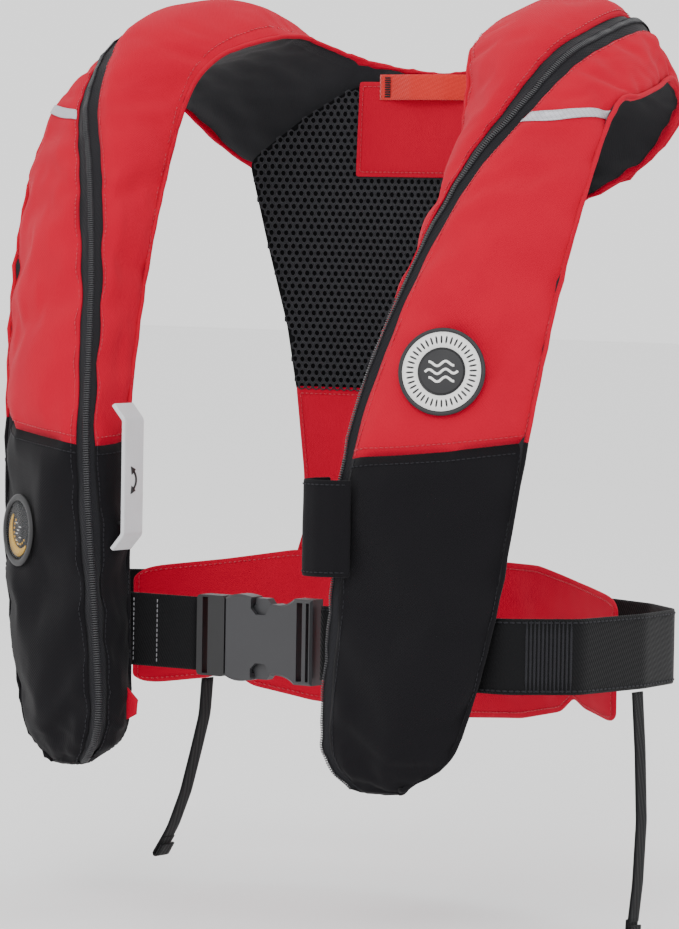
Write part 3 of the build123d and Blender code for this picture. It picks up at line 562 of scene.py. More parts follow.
def settled(lobe):
    """The lobe's rings after its covers are filled: extra cloth creases between the seams.

    The zip band, seams and ends are held, the lining nearly so, and the colour seam a little.
    """
    stations = np.array(lobe.stations) * MM
    rows, cols = stations.shape[:2]
    points = stations.reshape(-1, 3)
    body = surface_object("cover_cloth", points, grid_faces(rows, cols, lobe.way < 0, closed=True))
    held = body.vertex_groups.new(name="held")
    a, b = lobe.columns("band")
    outer = lobe.columns("front")[1]
    for i in range(rows):
        for j in range(cols):
            weight = 0.0
            if a <= j <= b or j in (0, outer) or i in (0, rows - 1):
                weight = 1.0
            elif j > outer:
                weight = 0.9
            elif i == lobe.seam:
                weight = 0.35
            held.add([i * cols + j], weight, "REPLACE")
    cloth = body.modifiers.new("filled", "CLOTH")
    setup = cloth.settings
    setup.quality = 5
    setup.mass = 0.2
    setup.tension_stiffness = 18
    setup.compression_stiffness = 18
    setup.shear_stiffness = 6
    setup.bending_stiffness = 0.25
    setup.air_damping = 2
    setup.use_pressure = True
    setup.uniform_pressure_force = sizes().puff
    setup.shrink_min = -sizes().slack
    setup.vertex_group_mass = "held"
    setup.pin_stiffness = 1.0
    setup.effector_weights.gravity = 0
    cloth.collision_settings.use_collision = False
    scene = bpy.context.scene
    for step in range(1, sizes().settle_frames + 1):
        scene.frame_set(step)
    graph = bpy.context.evaluated_depsgraph_get()
    data = body.evaluated_get(graph).to_mesh()
    moved = np.empty(rows * cols * 3)
    data.vertices.foreach_get("co", moved)
    body.evaluated_get(graph).to_mesh_clear()
    body.modifiers.clear()
    bpy.data.objects.remove(body)
    scene.frame_set(1)
    shift = moved.reshape(-1, 3) - points
    far = np.linalg.norm(shift, axis=1)
    shift *= np.minimum(1.0, MOST_SHIFT / np.maximum(far, 1e-9))[:, None]
    print(f"covers settled, way {lobe.way}: mean {far.mean() * 1000:.1f} mm, most "
          f"{far.max() * 1000:.1f} mm")
    return (points + shift).reshape(rows, cols, 3)


def normals_of(points):
    """Outward normals of a grid of closed rings."""
    across = np.roll(points, -1, axis=1) - np.roll(points, 1, axis=1)
    return units(np.cross(across, np.gradient(points, axis=0)))


def wobble(points, scale, seed):
    """Smooth noise in -1 to 1 at each point."""
    flat = points.reshape(-1, 3)
    offset = Vector((seed * 3.1, seed * 1.7, seed * 0.9))
    values = [noise.noise(Vector(p) / scale + offset) for p in flat]
    return np.array(values).reshape(points.shape[:-1])


def creased(points, normals, seam_distance, seed):
    """Draw the cloth down towards its seams and pucker it there."""
    near = np.clip(1 - seam_distance / 0.014, 0, 1) ** 2
    close = np.clip(1 - seam_distance / 0.030, 0, 1) * np.clip(seam_distance / 0.004, 0, 1)
    pucker = wobble(points, 0.011, seed) + 0.5 * wobble(points, 0.005, seed + 9)
    folds = wobble(points * np.array([1, 1, 0.55]), 0.045, seed + 4)
    lift = -0.0024 * near + 0.0019 * close * pucker + 0.0022 * folds * (1 - near)
    return points + normals * lift[..., None]


def cover_piece(name, lobe, points, rows, cols, uv):
    """One cover panel cut from the filled lobe, with its cloth thickness."""
    r0, r1 = rows
    c0, c1 = cols
    take = (slice(r0, r1 + 1), np.arange(c0, c1 + 1) % lobe.count)
    patch = points[take[0]][:, take[1]]
    cut_uv = uv[take[0]][:, take[1]]
    thing = surface_object(name, patch.reshape(-1, 3),
                           grid_faces(*patch.shape[:2], lobe.way < 0), cut_uv.reshape(-1, 2))
    return apply_modifiers(thickened(smoothed(thing, "PRESERVE_CORNERS"), sizes().cloth, -1))


def face_frame(way, low, high, share, blend, lift):
    """Origin and x, y, z axes of a flat place on a front cover between two pattern rows.

    x runs to the outer edge, y up the lobe and z off the cloth; lift is in mm.
    """
    def at(row, part):
        zip_at, outer, neck, across, inward, front, _ = section_of(pattern_row(row))
        corner = np.array([(zip_at - neck) @ across, (zip_at - neck) @ inward])
        edge = np.array([np.linalg.norm(outer - neck), 0.0])
        flat = bowed(corner, edge, front, part, lift)[0]
        point = neck + flat[0] * across + flat[1] * inward
        return point * np.array([way, 1, 1])

    def between(part):
        return at(low, part) * (1 - blend) + at(high, part) * blend

    x_axis = unit(between(share + 0.12) - between(share - 0.12))
    along = at(high, share) - at(low, share)
    z_axis = unit(np.cross(x_axis, along) * way)
    return between(share) * MM, x_axis, np.cross(z_axis, x_axis), z_axis


SEAT_DEPTH = 0.0024      # how far below a fitting's plane its seat in the cloth lies
SEAT_REACH = 0.03        # only cloth this close to the plane is pressed


def pressed_flat(points, origin, x_axis, y_axis, z_axis, radius):
    """Hold the cloth under a flat fitting, easing back to its own shape round the rim."""
    offset = points - origin
    height = offset @ z_axis
    away = np.hypot(offset @ x_axis, offset @ y_axis)
    ease = np.clip((radius * 1.45 - away) / (radius * 0.4), 0, 1) * (np.abs(height) < SEAT_REACH)
    drop = np.maximum(0, height + SEAT_DEPTH) * ease
    return points - drop[..., None] * z_axis


def eased_out(points, normals, centre, radius, lift):
    """Give the cloth room over a fitting that swings up against it."""
    away = np.linalg.norm(points - np.asarray(centre), axis=2)
    ease = np.clip(1 - away / radius, 0, 1)
    return points + normals * (lift * ease * ease * (3 - 2 * ease))[..., None]


# Room for the inflator's lever as it swings: centre, reach and lift of the cloth over it.
LEVER_ROOM = ((-0.0975, -0.107, -0.3085), 0.034, 0.0062)
# Where the fittings sit: lower and upper pattern row, share across the front cover, share up
# from the lower row, and height off the section in mm.
BADGE_PLACE = (4, 5, 0.44, 0.52, 3.6)
WINDOW_PLACE = (3, 4, 0.58, 0.37, 3.0)
BADGE_RADIUS = 0.029
WINDOW_RADIUS = 0.025
SEATS = {"left": (BADGE_PLACE, BADGE_RADIUS), "right": (WINDOW_PLACE, WINDOW_RADIUS)}


# The lobe, points and normals that the cover operator leaves for the pieces sewn to each side.
SEWN = {}


def lobe_distance(lobe, points):
    """Each point's distance from the nearest seam, round its ring and up the lobe, in metres."""
    rows = len(points)
    step = np.linalg.norm(np.roll(points, -1, axis=1) - points, axis=2)
    run = np.concatenate([np.zeros((rows, 1)), np.cumsum(step, axis=1)], axis=1)
    a, b = lobe.columns("band")
    outer = lobe.columns("front")[1]
    total = run[:, -1:]
    gaps = []
    for seam in (0, a, b, outer):
        gap = np.abs(run[:, :-1] - run[:, seam:seam + 1])
        gaps.append(np.minimum(gap, total - gap))
    nearest = np.min(gaps, axis=0)
    along = run_of(points[:, (b + outer) // 2])
    down = np.abs(along - along[lobe.seam])[:, None]
    return np.minimum(nearest, down), run[:, :-1], along


class LIFE_OT_covers(bpy.types.Operator):
    """Sew and fill the front, inner and lining covers of both lobes"""

    bl_idname = "life_jacket.covers"
    bl_label = "Covers"

    def execute(self, context):
        for side, way in (("left", 1), ("right", -1)):
            lobe = Lobe(way, GAP_STEPS)
            points = settled(lobe)
            normals = normals_of(points) * way
            distance, run, along = lobe_distance(lobe, points)
            points = creased(points, normals, distance, 5 + way)
            if side == "right":
                points = eased_out(points, normals, *LEVER_ROOM)
            seat, radius = SEATS[side]
            points = pressed_flat(points, *face_frame(way, *seat), radius)
            SEWN[side] = (lobe, points, normals_of(points) * way)
            uv = np.stack([run, np.repeat(along[:, None], run.shape[1], axis=1)], axis=2)
            last = len(points) - 1
            a, b = lobe.columns("band")
            outer = lobe.columns("front")[1]
            for part, cols in (("front_cover", (b, outer)), ("inner_cover", (0, a))):
                for half, rows in (("lower", (0, lobe.seam)), ("upper", (lobe.seam, last))):
                    name = f"{side}_{part}_{half}"
                    piece = cover_piece(f"{name}_cloth", lobe, points, rows, cols, uv)
                    dressed(piece, CLOTH_OF[half], replaces=(name,))
            name = f"{side}_lobe_lining"
            piece = cover_piece(f"{name}_cloth", lobe, points, (0, last), (outer, lobe.count), uv)
            dressed(piece, "lining", replaces=(name,))
            self.toe(side, lobe, points[0])
        return {"FINISHED"}

    def toe(self, side, lobe, ring):
        """The bottom end of the lobe, gathered to a seam across it."""
        c = lobe.count
        middle = ring.mean(axis=0) + np.array([0, 0, -0.0015])
        half = (ring + middle) / 2 + np.array([0, 0, -0.001])
        stack = np.vstack([ring, half, middle[None]])
        faces = []
        for j in range(c):
            k = (j + 1) % c
            faces.append((j, c + j, c + k, k))
            faces.append((c + j, 2 * c, c + k))
        if lobe.way > 0:
            faces = [f[::-1] for f in faces]
        thing = surface_object(f"{side}_toe_cloth", stack, faces, stack[:, :2])
        dressed(thing, "black_nylon")


# ---- repeats: one tree that sets an item on marked points ------------------------------------
REPEAT_SEED = 3


def repeat_tree():
    """Geometry nodes that set one item on every point, turned to its ahead and up marks."""
    tree = bpy.data.node_groups.new("set_item_on_points", "GeometryNodeTree")
    for name, kind in (("Points", "Geometry"), ("Item", "Object"), ("Item Size", "Vector"),
                       ("Turn Spread", "Float"), ("Seed", "Int"), ("Finish", "Material")):
        tree.interface.new_socket(name, in_out="INPUT", socket_type=f"NodeSocket{kind}")
    tree.interface.new_socket("Geometry", in_out="OUTPUT", socket_type="NodeSocketGeometry")
    start = tree.nodes.new("NodeGroupInput")
    end = tree.nodes.new("NodeGroupOutput")
    ahead = add_node(tree, "GeometryNodeInputNamedAttribute",
                     {"data_type": "FLOAT_VECTOR", "Name": "ahead"})
    up = add_node(tree, "GeometryNodeInputNamedAttribute",
                  {"data_type": "FLOAT_VECTOR", "Name": "up"})
    facing = add_node(tree, "FunctionNodeAxesToRotation",
                      {"primary_axis": "Z", "secondary_axis": "X"},
                      {0: up.outputs[0], 1: ahead.outputs[0]})
    item = add_node(tree, "GeometryNodeObjectInfo", {"transform_space": "ORIGINAL"},
                    {"Object": start.outputs["Item"]})
    spread = add_node(tree, "ShaderNodeMath", {"operation": "MULTIPLY", 1: -1.0},
                      {0: start.outputs["Turn Spread"]})
    random = add_node(tree, "FunctionNodeRandomValue", {"data_type": "FLOAT"},
                      {2: spread.outputs[0], 3: start.outputs["Turn Spread"],
                       "Seed": start.outputs["Seed"]})
    turn = add_node(tree, "FunctionNodeAxisAngleToRotation", {"Axis": (0, 0, 1)},
                    {"Angle": random.outputs[1]})
    stance = add_node(tree, "FunctionNodeRotateRotation", {"rotation_space": "LOCAL"},
                      {0: facing.outputs[0], 1: turn.outputs[0]})
    copies = add_node(tree, "GeometryNodeInstanceOnPoints", {},
                      {"Points": start.outputs["Points"], "Instance": item.outputs["Geometry"],
                       "Rotation": stance.outputs[0], "Scale": start.outputs["Item Size"]})
    real = add_node(tree, "GeometryNodeRealizeInstances", {}, {0: copies.outputs[0]})
    painted = add_node(tree, "GeometryNodeSetMaterial", {},
                       {0: real.outputs[0], "Material": start.outputs["Finish"]})
    smooth = add_node(tree, "GeometryNodeSetShadeSmooth", {}, {0: painted.outputs[0]})
    tree.links.new(smooth.outputs[0], end.inputs[0])
    return tree


def repeat(name, item, places, ahead, up, material, body):
    """A piece made of the item set on every place, all riding on one body."""
    points = surface_object(name, places, [])
    for mark, values in (("ahead", ahead), ("up", up)):
        layer = points.data.attributes.new(mark, "FLOAT_VECTOR", "POINT")
        layer.data.foreach_set("vector", np.asarray(values, float).ravel())
    tree = bpy.data.node_groups.get("set_item_on_points") or repeat_tree()
    maker = points.modifiers.new("repeat", "NODES")
    maker.node_group = tree
    inputs = {"Item": item, "Item Size": (1, 1, 1), "Turn Spread": 0.0, "Seed": REPEAT_SEED,
              "Finish": finish(material)}
    for socket in tree.interface.items_tree:
        if socket.in_out == "INPUT" and socket.name in inputs:
            maker[socket.identifier] = inputs[socket.name]
    apply_modifiers(points)
    bpy.data.objects.remove(item)
    for mark in ("ahead", "up"):
        layer = points.data.attributes.get(mark)
        if layer:
            points.data.attributes.remove(layer)
    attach(points, body)


def hidden_item(name, points, faces):
    """A small mesh used only as the item of a repeat, which drops it when it's done."""
    item = surface_object(name, points, faces)
    item.data.uv_layers.new(name="cloth")
    item.hide_render = True
    return item


def bead(name, length, width, height, sides=6):
    """A short rounded stitch or tooth lying along X."""
    points = []
    shape = ((-0.5, 0.35), (-0.3, 1.0), (0.3, 1.0), (0.5, 0.35))
    for x, share in shape:
        for k in range(sides):
            turn = 2 * math.pi * k / sides
            points.append((x * length, math.cos(turn) * width / 2 * share,
                           math.sin(turn) * height / 2 * share))
    return hidden_item(name, points, capped(len(shape), sides))


def even_points(path, pitch, *others):
    """Points spaced evenly along a path, with each other row of vectors carried along."""
    run = run_of(path)
    count = max(2, int(run[-1] / pitch))
    at = (np.arange(count) + 0.5) * run[-1] / count
    spread = [np.stack([np.interp(at, run, np.asarray(rows)[:, k]) for k in range(3)], axis=1)
              for rows in (path, *others)]
    ahead = np.gradient(spread[0], axis=0)
    return (spread[0], ahead, *spread[1:])


STITCH_PROUD = 0.0002    # how far the thread's middle stands off the cloth


def stitched(name, paths, thread, body="vest", pitch=STITCH_PITCH, width=STITCH_WIDTH):
    """Rows of stitches along paths, each a (points, normals) pair on the cloth."""
    places, aheads, ups = [], [], []
    for path, normals in paths:
        at, ahead, up = even_points(path, pitch, normals)
        up = units(up)
        places.append(at + up * STITCH_PROUD)
        aheads.append(ahead)
        ups.append(up)
    item = bead(f"{name}_stitch", pitch * 0.78, width, width * 0.8)
    repeat(name, item, np.vstack(places), np.vstack(aheads), np.vstack(ups), thread, body)


class LIFE_OT_bladder(bpy.types.Operator):
    """Fold the coated bladder inside both lobes"""

    bl_idname = "life_jacket.bladder"
    bl_label = "Bladder"

    share: FloatProperty(name="Share", description="Size of the fold across its lobe",
                         default=0.55, subtype="FACTOR")

    def execute(self, context):
        tubes, faces, count = [], [], 0
        for way in (1, -1):
            lobe = Lobe(way, DRAFT_STEPS)
            rings = np.array(lobe.stations)[lobe.seam:-1:2] * MM
            middle = rings.mean(axis=1, keepdims=True)
            rings = middle + (rings - middle) * self.share
            faces += [tuple(k + count for k in f) for f in capped(*rings.shape[:2])]
            tubes.append(rings.reshape(-1, 3))
            count += len(tubes[-1])
        points = np.vstack(tubes)
        fold = outward(surface_object("bladder_fold", points, faces, points[:, ::2]))
        dressed(fold, "film", replaces=("inflation_bladder",))
        return {"FINISHED"}


# ---- zips, seams and strips on the covers ------------------------------------------------------
def between_columns(points, column):
    """The line up the lobe at a column that may fall between two rings' points."""
    low = int(math.floor(column))
    share = column - low
    return points[:, low] * (1 - share) + points[:, (low + 1) % points.shape[1]] * share


def wrapped(name, rings, round_it, along_it):
    """A closed piece through equal rings, with its UV round and along it."""
    uv = np.stack([np.tile(round_it, (len(rings), 1)),
                   np.repeat(along_it[:, None], len(round_it), axis=1)], axis=2)
    return outward(surface_object(name, rings.reshape(-1, 3), capped(*rings.shape[:2]),
                                  uv.reshape(-1, 2)))


def tube(name, path, radius, sides=8):
    """A closed round tube along a path."""
    ahead = units(np.gradient(path, axis=0))
    side = units(np.cross(ahead, (0.0, 0.3, 1.0)))
    up = np.cross(side, ahead)
    turn = np.arange(sides) * 2 * math.pi / sides
    ring = (path[:, None] + radius * (np.cos(turn)[None, :, None] * side[:, None]
                                      + np.sin(turn)[None, :, None] * up[:, None]))
    return wrapped(name, ring, turn * radius, run_of(path))


def outward(thing):
    """Turn the faces of a closed piece outwards."""
    mesh = bmesh.new()
    mesh.from_mesh(thing.data)
    bmesh.ops.recalc_face_normals(mesh, faces=mesh.faces)
    mesh.to_mesh(thing.data)
    mesh.free()
    return thing


def dressed(thing, material, body="vest", replaces=()):
    """Finish a piece, parent it to the body it rides on, and hide the frame's pieces it replaces."""
    shade(thing, finish(material))
    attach(thing, body)
    if replaces:
        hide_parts(*replaces)
    return thing


class LIFE_OT_zips(bpy.types.Operator):
    """Lay both zips: woven tapes with their coil of teeth, along the front edge of each lobe"""

    bl_idname = "life_jacket.zips"
    bl_label = "Zips"

    TUCKED, SUNK, RAISED = -0.0026, -0.0012, -0.0004     # tape's depth from its edge to its middle
    TAPE = 0.0009
    TOOTH = (0.0011, 0.0050, 0.0016)
    PROUD = 0.0001
    RIB_ASIDE = 0.62         # rows of yarn beside the teeth, in columns from the middle

    def execute(self, context):
        for side, (lobe, points, normals) in SEWN.items():
            a, b = lobe.columns("band")
            tape = points[:, a - 1:b + 2].copy()
            depth = np.full(tape.shape[:2], self.SUNK)
            depth[:, 0] = depth[:, -1] = self.TUCKED
            depth[:, 3:-3] = self.RAISED
            tape += normals[:, a - 1:b + 2] * depth[..., None]
            piece = smoothed(cloth_grid(f"{side}_zip_tape", tape, lobe.way < 0))
            apply_modifiers(thickened(piece, self.TAPE, -1))
            dressed(piece, "tape", replaces=(f"{side}_zip",))
            middle = (a + b) / 2
            off = units(between_columns(normals, middle))
            at, ahead, out = even_points(between_columns(points, middle), sizes().tooth_pitch, off)
            tooth = bead(f"{side}_tooth_item", *self.TOOTH)
            repeat(f"{side}_zip_coil", tooth, at + out * self.PROUD, ahead, out, "coil", "vest")
            cords = [(between_columns(points, middle + aside) + off * self.PROUD, off)
                     for aside in (-self.RIB_ASIDE, self.RIB_ASIDE)]
            stitched(f"{side}_zip_ribs", cords, "black_thread",
                     pitch=0.0016, width=0.0010)
        return {"FINISHED"}


class LIFE_OT_seams(bpy.types.Operator):
    """Close the seams of the lobes with piping and rows of stitches"""

    bl_idname = "life_jacket.seams"
    bl_label = "Seams"

    PIPING = 0.0017          # radius of the rolled seam
    SUNK = 0.0006            # how far the roll's middle lies under the cloth
    STRIP_ROW = 6.9          # pattern row of the reflective strip
    STRIP_HALF = 0.0042      # half its width
    STRIP_PROUD = 0.0007

    def execute(self, context):
        for side, (lobe, points, normals) in SEWN.items():
            seam = lobe.seam
            a, b = lobe.columns("band")
            outer = lobe.columns("front")[1]
            for half, rows in (("lower", slice(0, seam + 1)), ("upper", slice(seam, None))):
                for seam_name, column in (("neck", 0), ("outer", outer)):
                    middle = points[rows, column] - normals[rows, column] * self.SUNK
                    roll = tube(f"{side}_{seam_name}_piping_{half}", middle, self.PIPING)
                    dressed(roll, CLOTH_OF[half])
                paths = [(between_columns(points, column)[rows],
                          between_columns(normals, column)[rows])
                         for column in (b + 0.55, a - 0.45, outer - 0.7, 1.3)]
                stitched(f"{side}_seam_stitches_{half}", paths, THREAD_OF[half],
                         pitch=sizes().stitch * 1.35)
            for half, row, share in (("lower", seam - 1, 0.55), ("upper", seam, 0.4)):
                across = [(points[row, cols] * (1 - share) + points[row + 1, cols] * share,
                           normals[row, cols])
                          for cols in (slice(b, outer + 1), slice(0, a + 1))]
                stitched(f"{side}_colour_seam_stitches_{half}", across, THREAD_OF[half])
            strip = self.strip(side, lobe, points, normals)
            dressed(strip, "reflective",
                    replaces=(f"{side}_reflective_strip",))
        return {"FINISHED"}

    def strip(self, side, lobe, points, normals):
        """Reflective tape laid across the front cover below the shoulder."""
        b, outer = lobe.columns("front")
        middle_row = self.STRIP_ROW * lobe.gap_steps
        low = int(middle_row)
        reach = self.STRIP_HALF / np.linalg.norm(points[low, outer - 8] - points[low + 1, outer - 8])
        grid = []
        for column in np.linspace(b + 0.4, outer - 0.1, 34):
            line = between_columns(points, column)
            out = between_columns(normals, column)
            across = []
            for offset in np.linspace(-reach, reach, 5):
                row = middle_row + offset
                low = int(row)
                share = row - low
                across.append(line[low] * (1 - share) + line[low + 1] * share
                              + unit(out[low]) * self.STRIP_PROUD)
            grid.append(across)
        thing = cloth_grid(f"{side}_reflective_strip_tape", np.array(grid), lobe.way > 0)
        return apply_modifiers(thickened(thing, 0.0005))


# ---- back: mesh, yoke, lower panel, hip pad, loop ----------------------------------------------
def back_at(x):
    """How far back the back panel's inner face lies, in metres."""
    return (139.5 - 0.001 * (x / MM) ** 2) * MM


def hip_at(x):
    """How far back the hip pad's inner face lies, in metres: one arc round the hips."""
    half, end, back = 0.206, 0.058, 0.135
    rise = back - end
    radius = (half * half + rise * rise) / (2 * rise)
    return back - radius + math.sqrt(radius * radius - x * x)


def quilt(name, xs, zs, face, thick, rim=0.008, crease=0.0, seed=1):
    """A soft panel between two faces, thinning to its sewn rim.

    xs and zs are grids of places, face gives the inner face's y.
    """
    rows, cols = xs.shape
    points = np.stack([xs, np.vectorize(face)(xs), zs], axis=2)
    down = np.minimum(np.arange(rows), np.arange(rows)[::-1])[:, None] * np.ones((1, cols))
    side = np.minimum(np.arange(cols), np.arange(cols)[::-1])[None] * np.ones((rows, 1))
    tall = np.abs(zs[0, cols // 2] - zs[-1, cols // 2]) / (rows - 1)
    wide = np.abs(xs[rows // 2, 0] - xs[rows // 2, -1]) / (cols - 1)
    edge = np.minimum(down * tall, side * wide)
    full = 1 - np.exp(-edge / rim)
    half = thick / 2 * (0.22 + 0.78 * full)
    fold = (wobble(points, 0.04, seed) + 0.5 * wobble(points, 0.016, seed + 3)) * crease * full
    middle = points[..., 1] + thick / 2
    front, back = points.copy(), points.copy()
    front[..., 1] = middle - half + fold
    back[..., 1] = middle + half + fold * 0.6
    uv = grid_uv(points)
    count = rows * cols
    faces = grid_faces(rows, cols)
    faces += [tuple(count + k for k in f[::-1]) for f in grid_faces(rows, cols)]
    border = [*range(cols), *(i * cols + cols - 1 for i in range(1, rows)),
              *(count - 1 - k for k in range(1, cols)),
              *((rows - 1 - i) * cols for i in range(1, rows - 1))]
    for k, here in enumerate(border):
        there = border[(k + 1) % len(border)]
        faces.append((here, there, there + count, here + count))
    thing = surface_object(name, np.vstack([front.reshape(-1, 3), back.reshape(-1, 3)]), faces,
                           np.vstack([uv, uv]))
    return apply_modifiers(smoothed(outward(thing))), front


def panel_grid(left, right, rows, cols):
    """Grids of x and z between two edges given as (x, z) in mm from top to bottom."""
    left, right = (np.array(side, float)[::-1] for side in (left, right))
    zs = np.linspace(left[-1, 1], left[0, 1], rows)
    high = np.interp(zs, left[:, 1], left[:, 0])[:, None]
    low = np.interp(zs, right[:, 1], right[:, 0])[:, None]
    share = np.linspace(0, 1, cols)[None]
    return (low + (high - low) * share) * MM, np.repeat(zs[:, None], cols, axis=1) * MM


def mesh_cell(name, pitch, sides=12):
    """One cell of the spacer mesh: a raised six-sided ring of knit with a round hole."""
    circles = ((0.0, 0.0, True), (0.440, 0.00035, False), (0.365, -0.0002, False),
               (0.350, -0.0014, False))
    points = []
    for share, height, outer in circles:
        for k in range(sides):
            turn = 2 * math.pi * k / sides
            if outer:
                away = (turn + math.pi / 6) % (math.pi / 3) - math.pi / 6
                radius = pitch / 2 / math.cos(away)
            else:
                radius = share * pitch
            points.append((radius * math.cos(turn), radius * math.sin(turn), height))
    return hidden_item(name, points, grid_faces(len(circles), sides, flip=True, closed=True))


def strap(name, path, width_dir, width, thick):
    """Flat webbing along a path, its width lying along one direction, with thinner edges."""
    ahead = units(np.gradient(path, axis=0))
    wide = np.tile(np.array(width_dir, float), (len(path), 1))
    wide = units(wide - (wide * ahead).sum(axis=1)[:, None] * ahead)
    off = np.cross(ahead, wide)
    face = [(share * width / 2, thick / 2 * (0.55 if abs(share) == 1 else 1.0))
            for share in (-1, -0.94, -0.6, -0.2, 0.2, 0.6, 0.94, 1)]
    profile = np.array(face + [(x, -y) for x, y in face[::-1]])
    rings = (path[:, None] + profile[None, :, :1] * wide[:, None]
             + profile[None, :, 1:] * off[:, None])
    return wrapped(name, rings, profile[:, 0], run_of(path))


def rounded_route(corners, radius, step=0.004):
    """Points along a route of straight runs joined by arcs."""
    corners = [np.asarray(c, float) for c in corners]
    out = [corners[0]]
    for before, corner, after in zip(corners, corners[1:], corners[2:]):
        u, v = unit(before - corner), unit(after - corner)
        angle = math.acos(max(-1, min(1, float(u @ v))))
        cut = min(radius / math.tan(angle / 2), 0.48 * np.linalg.norm(before - corner),
                  0.48 * np.linalg.norm(after - corner))
        start, end = corner + u * cut, corner + v * cut
        for t in np.linspace(0, 1, 7):
            out.append((1 - t) ** 2 * start + 2 * t * (1 - t) * corner + t * t * end)
    out.append(corners[-1])
    out = np.array(out)
    run = run_of(out)
    keep = np.concatenate([[True], np.diff(run) > 1e-6])
    out, run = out[keep], run[keep]
    at = np.linspace(0, run[-1], max(3, int(run[-1] / step)))
    return np.stack([np.interp(at, run, out[:, k]) for k in range(3)], axis=1)


# The back's edges from top to bottom, in mm. Seen on a wearer, the panels sit towards the
# wearer's right below the shoulders.
MESH_LEFT = [(50, -3), (66, -6), (100, -30), (126, -62), (100, -120), (84, -180), (76, -227)]
MESH_RIGHT = [(-50, -3), (-66, -6), (-108, -30), (-148, -62), (-134, -120), (-118, -180),
              (-110, -227)]
LOWER_LEFT = [(77, -223), (66, -285), (58, -325), (56, -345)]
LOWER_RIGHT = [(-110, -223), (-103, -285), (-102, -325), (-108, -345)]


class LIFE_OT_back(bpy.types.Operator):
    """Make the spacer mesh back, the yoke, the lower back panel and the hip pad"""

    bl_idname = "life_jacket.back"
    bl_label = "Back"

    def execute(self, context):
        xs, zs = panel_grid(MESH_LEFT, MESH_RIGHT, 40, 50)
        sheet, _ = quilt("mesh_backing", xs, zs, lambda x: back_at(x) + 0.0016, 0.0022, 0.004)
        dressed(sheet, "backing", replaces=("back_mesh_panel",))
        self.knit()
        xs, zs = panel_grid([(62, -4), (64, -72)], [(-62, -4), (-64, -72)], 20, 32)
        yoke, face = quilt("yoke_cloth", xs, zs, lambda x: back_at(x) - 0.0028, 0.0026, 0.006,
                           0.0012, 7)
        dressed(yoke, "red_nylon", replaces=("yoke_panel",))
        self.border("yoke_stitches", face)
        xs, zs = panel_grid(LOWER_LEFT, LOWER_RIGHT, 24, 44)
        lower, face = quilt("lower_back_cloth", xs, zs, lambda x: back_at(x) - 0.001, 0.006,
                            0.008, 0.0024, 11)
        dressed(lower, "red_nylon", replaces=("lower_back_panel",))
        self.border("lower_back_stitches", face)
        self.hip()
        return {"FINISHED"}

    def border(self, name, face):
        """A row of stitches round a panel, one grid step in from its rim."""
        inner = face[1:-1, 1:-1]
        path = np.vstack([inner[0], inner[1:, -1], inner[-1, ::-1][1:], inner[::-1, 0][1:]])
        stitched(name, [(path - [0, 0.0003, 0], np.tile(FORWARD, (len(path), 1)))],
                 "red_thread", pitch=0.0036)

    def knit(self):
        """The knit face of the mesh, cell by cell, left out where the yoke lies over it."""
        pitch = sizes().mesh_pitch
        left, right = (np.array(side, float)[::-1] * MM for side in (MESH_LEFT, MESH_RIGHT))
        places = []
        row_step = pitch * math.sqrt(3) / 2
        rows = int((left[-1, 1] - left[0, 1]) / row_step) - 1
        for row in range(rows):
            z = left[0, 1] + pitch * 0.75 + row * row_step
            low = np.interp(z, right[:, 1], right[:, 0]) + pitch * 0.62
            high = np.interp(z, left[:, 1], left[:, 0]) - pitch * 0.62
            shift = 0.5 if row % 2 else 0.0
            for k in range(math.ceil(low / pitch - shift), int(high / pitch - shift) + 1):
                x = (k + shift) * pitch
                if low < x < high and not (abs(x) < 0.060 and z > -0.068):
                    places.append((x, back_at(x) + 0.0003, z))
        places = np.array(places)
        slope = 0.002 * places[:, 0] / MM
        flat = np.zeros(len(places))
        up = units(np.stack([-slope, flat - 1, flat], axis=1))
        ahead = np.stack([-up[:, 1], up[:, 0], flat], axis=1)
        item = mesh_cell("mesh_cell_item", pitch)
        repeat("mesh_knit", item, places, ahead, up, "mesh", "vest")

    def hip(self):
        """The padded hip panel, curved round the hips, with its notches and creases."""
        top = [(0, -341), (104, -341), (150, -349), (190, -354.5), (199, -357), (204, -361),
               (206, -366)]
        foot = [(0, -455), (40, -454), (90, -450), (132, -441), (146, -430), (160, -436),
                (190, -440), (199, -439.5), (204, -437), (206, -433)]
        cols, rows = 92, 26
        x = np.linspace(-205, 205, cols)
        high = np.interp(np.abs(x), *np.array(top, float).T)
        low = np.interp(np.abs(x), *np.array(foot, float).T)
        share = np.linspace(0, 1, rows)[:, None]
        zs = (high[None] * (1 - share) + low[None] * share) * MM
        xs = np.repeat(x[None] * MM, rows, axis=0)
        pad, face = quilt("hip_pad_cloth", xs, zs, hip_at, 0.010, 0.010, 0.0042, 21)
        dressed(pad, "red_nylon", replaces=("hip_pad",))
        self.border("hip_pad_stitches", face)


LOOP_WIDTH, LOOP_THICK = 0.018, 0.0016


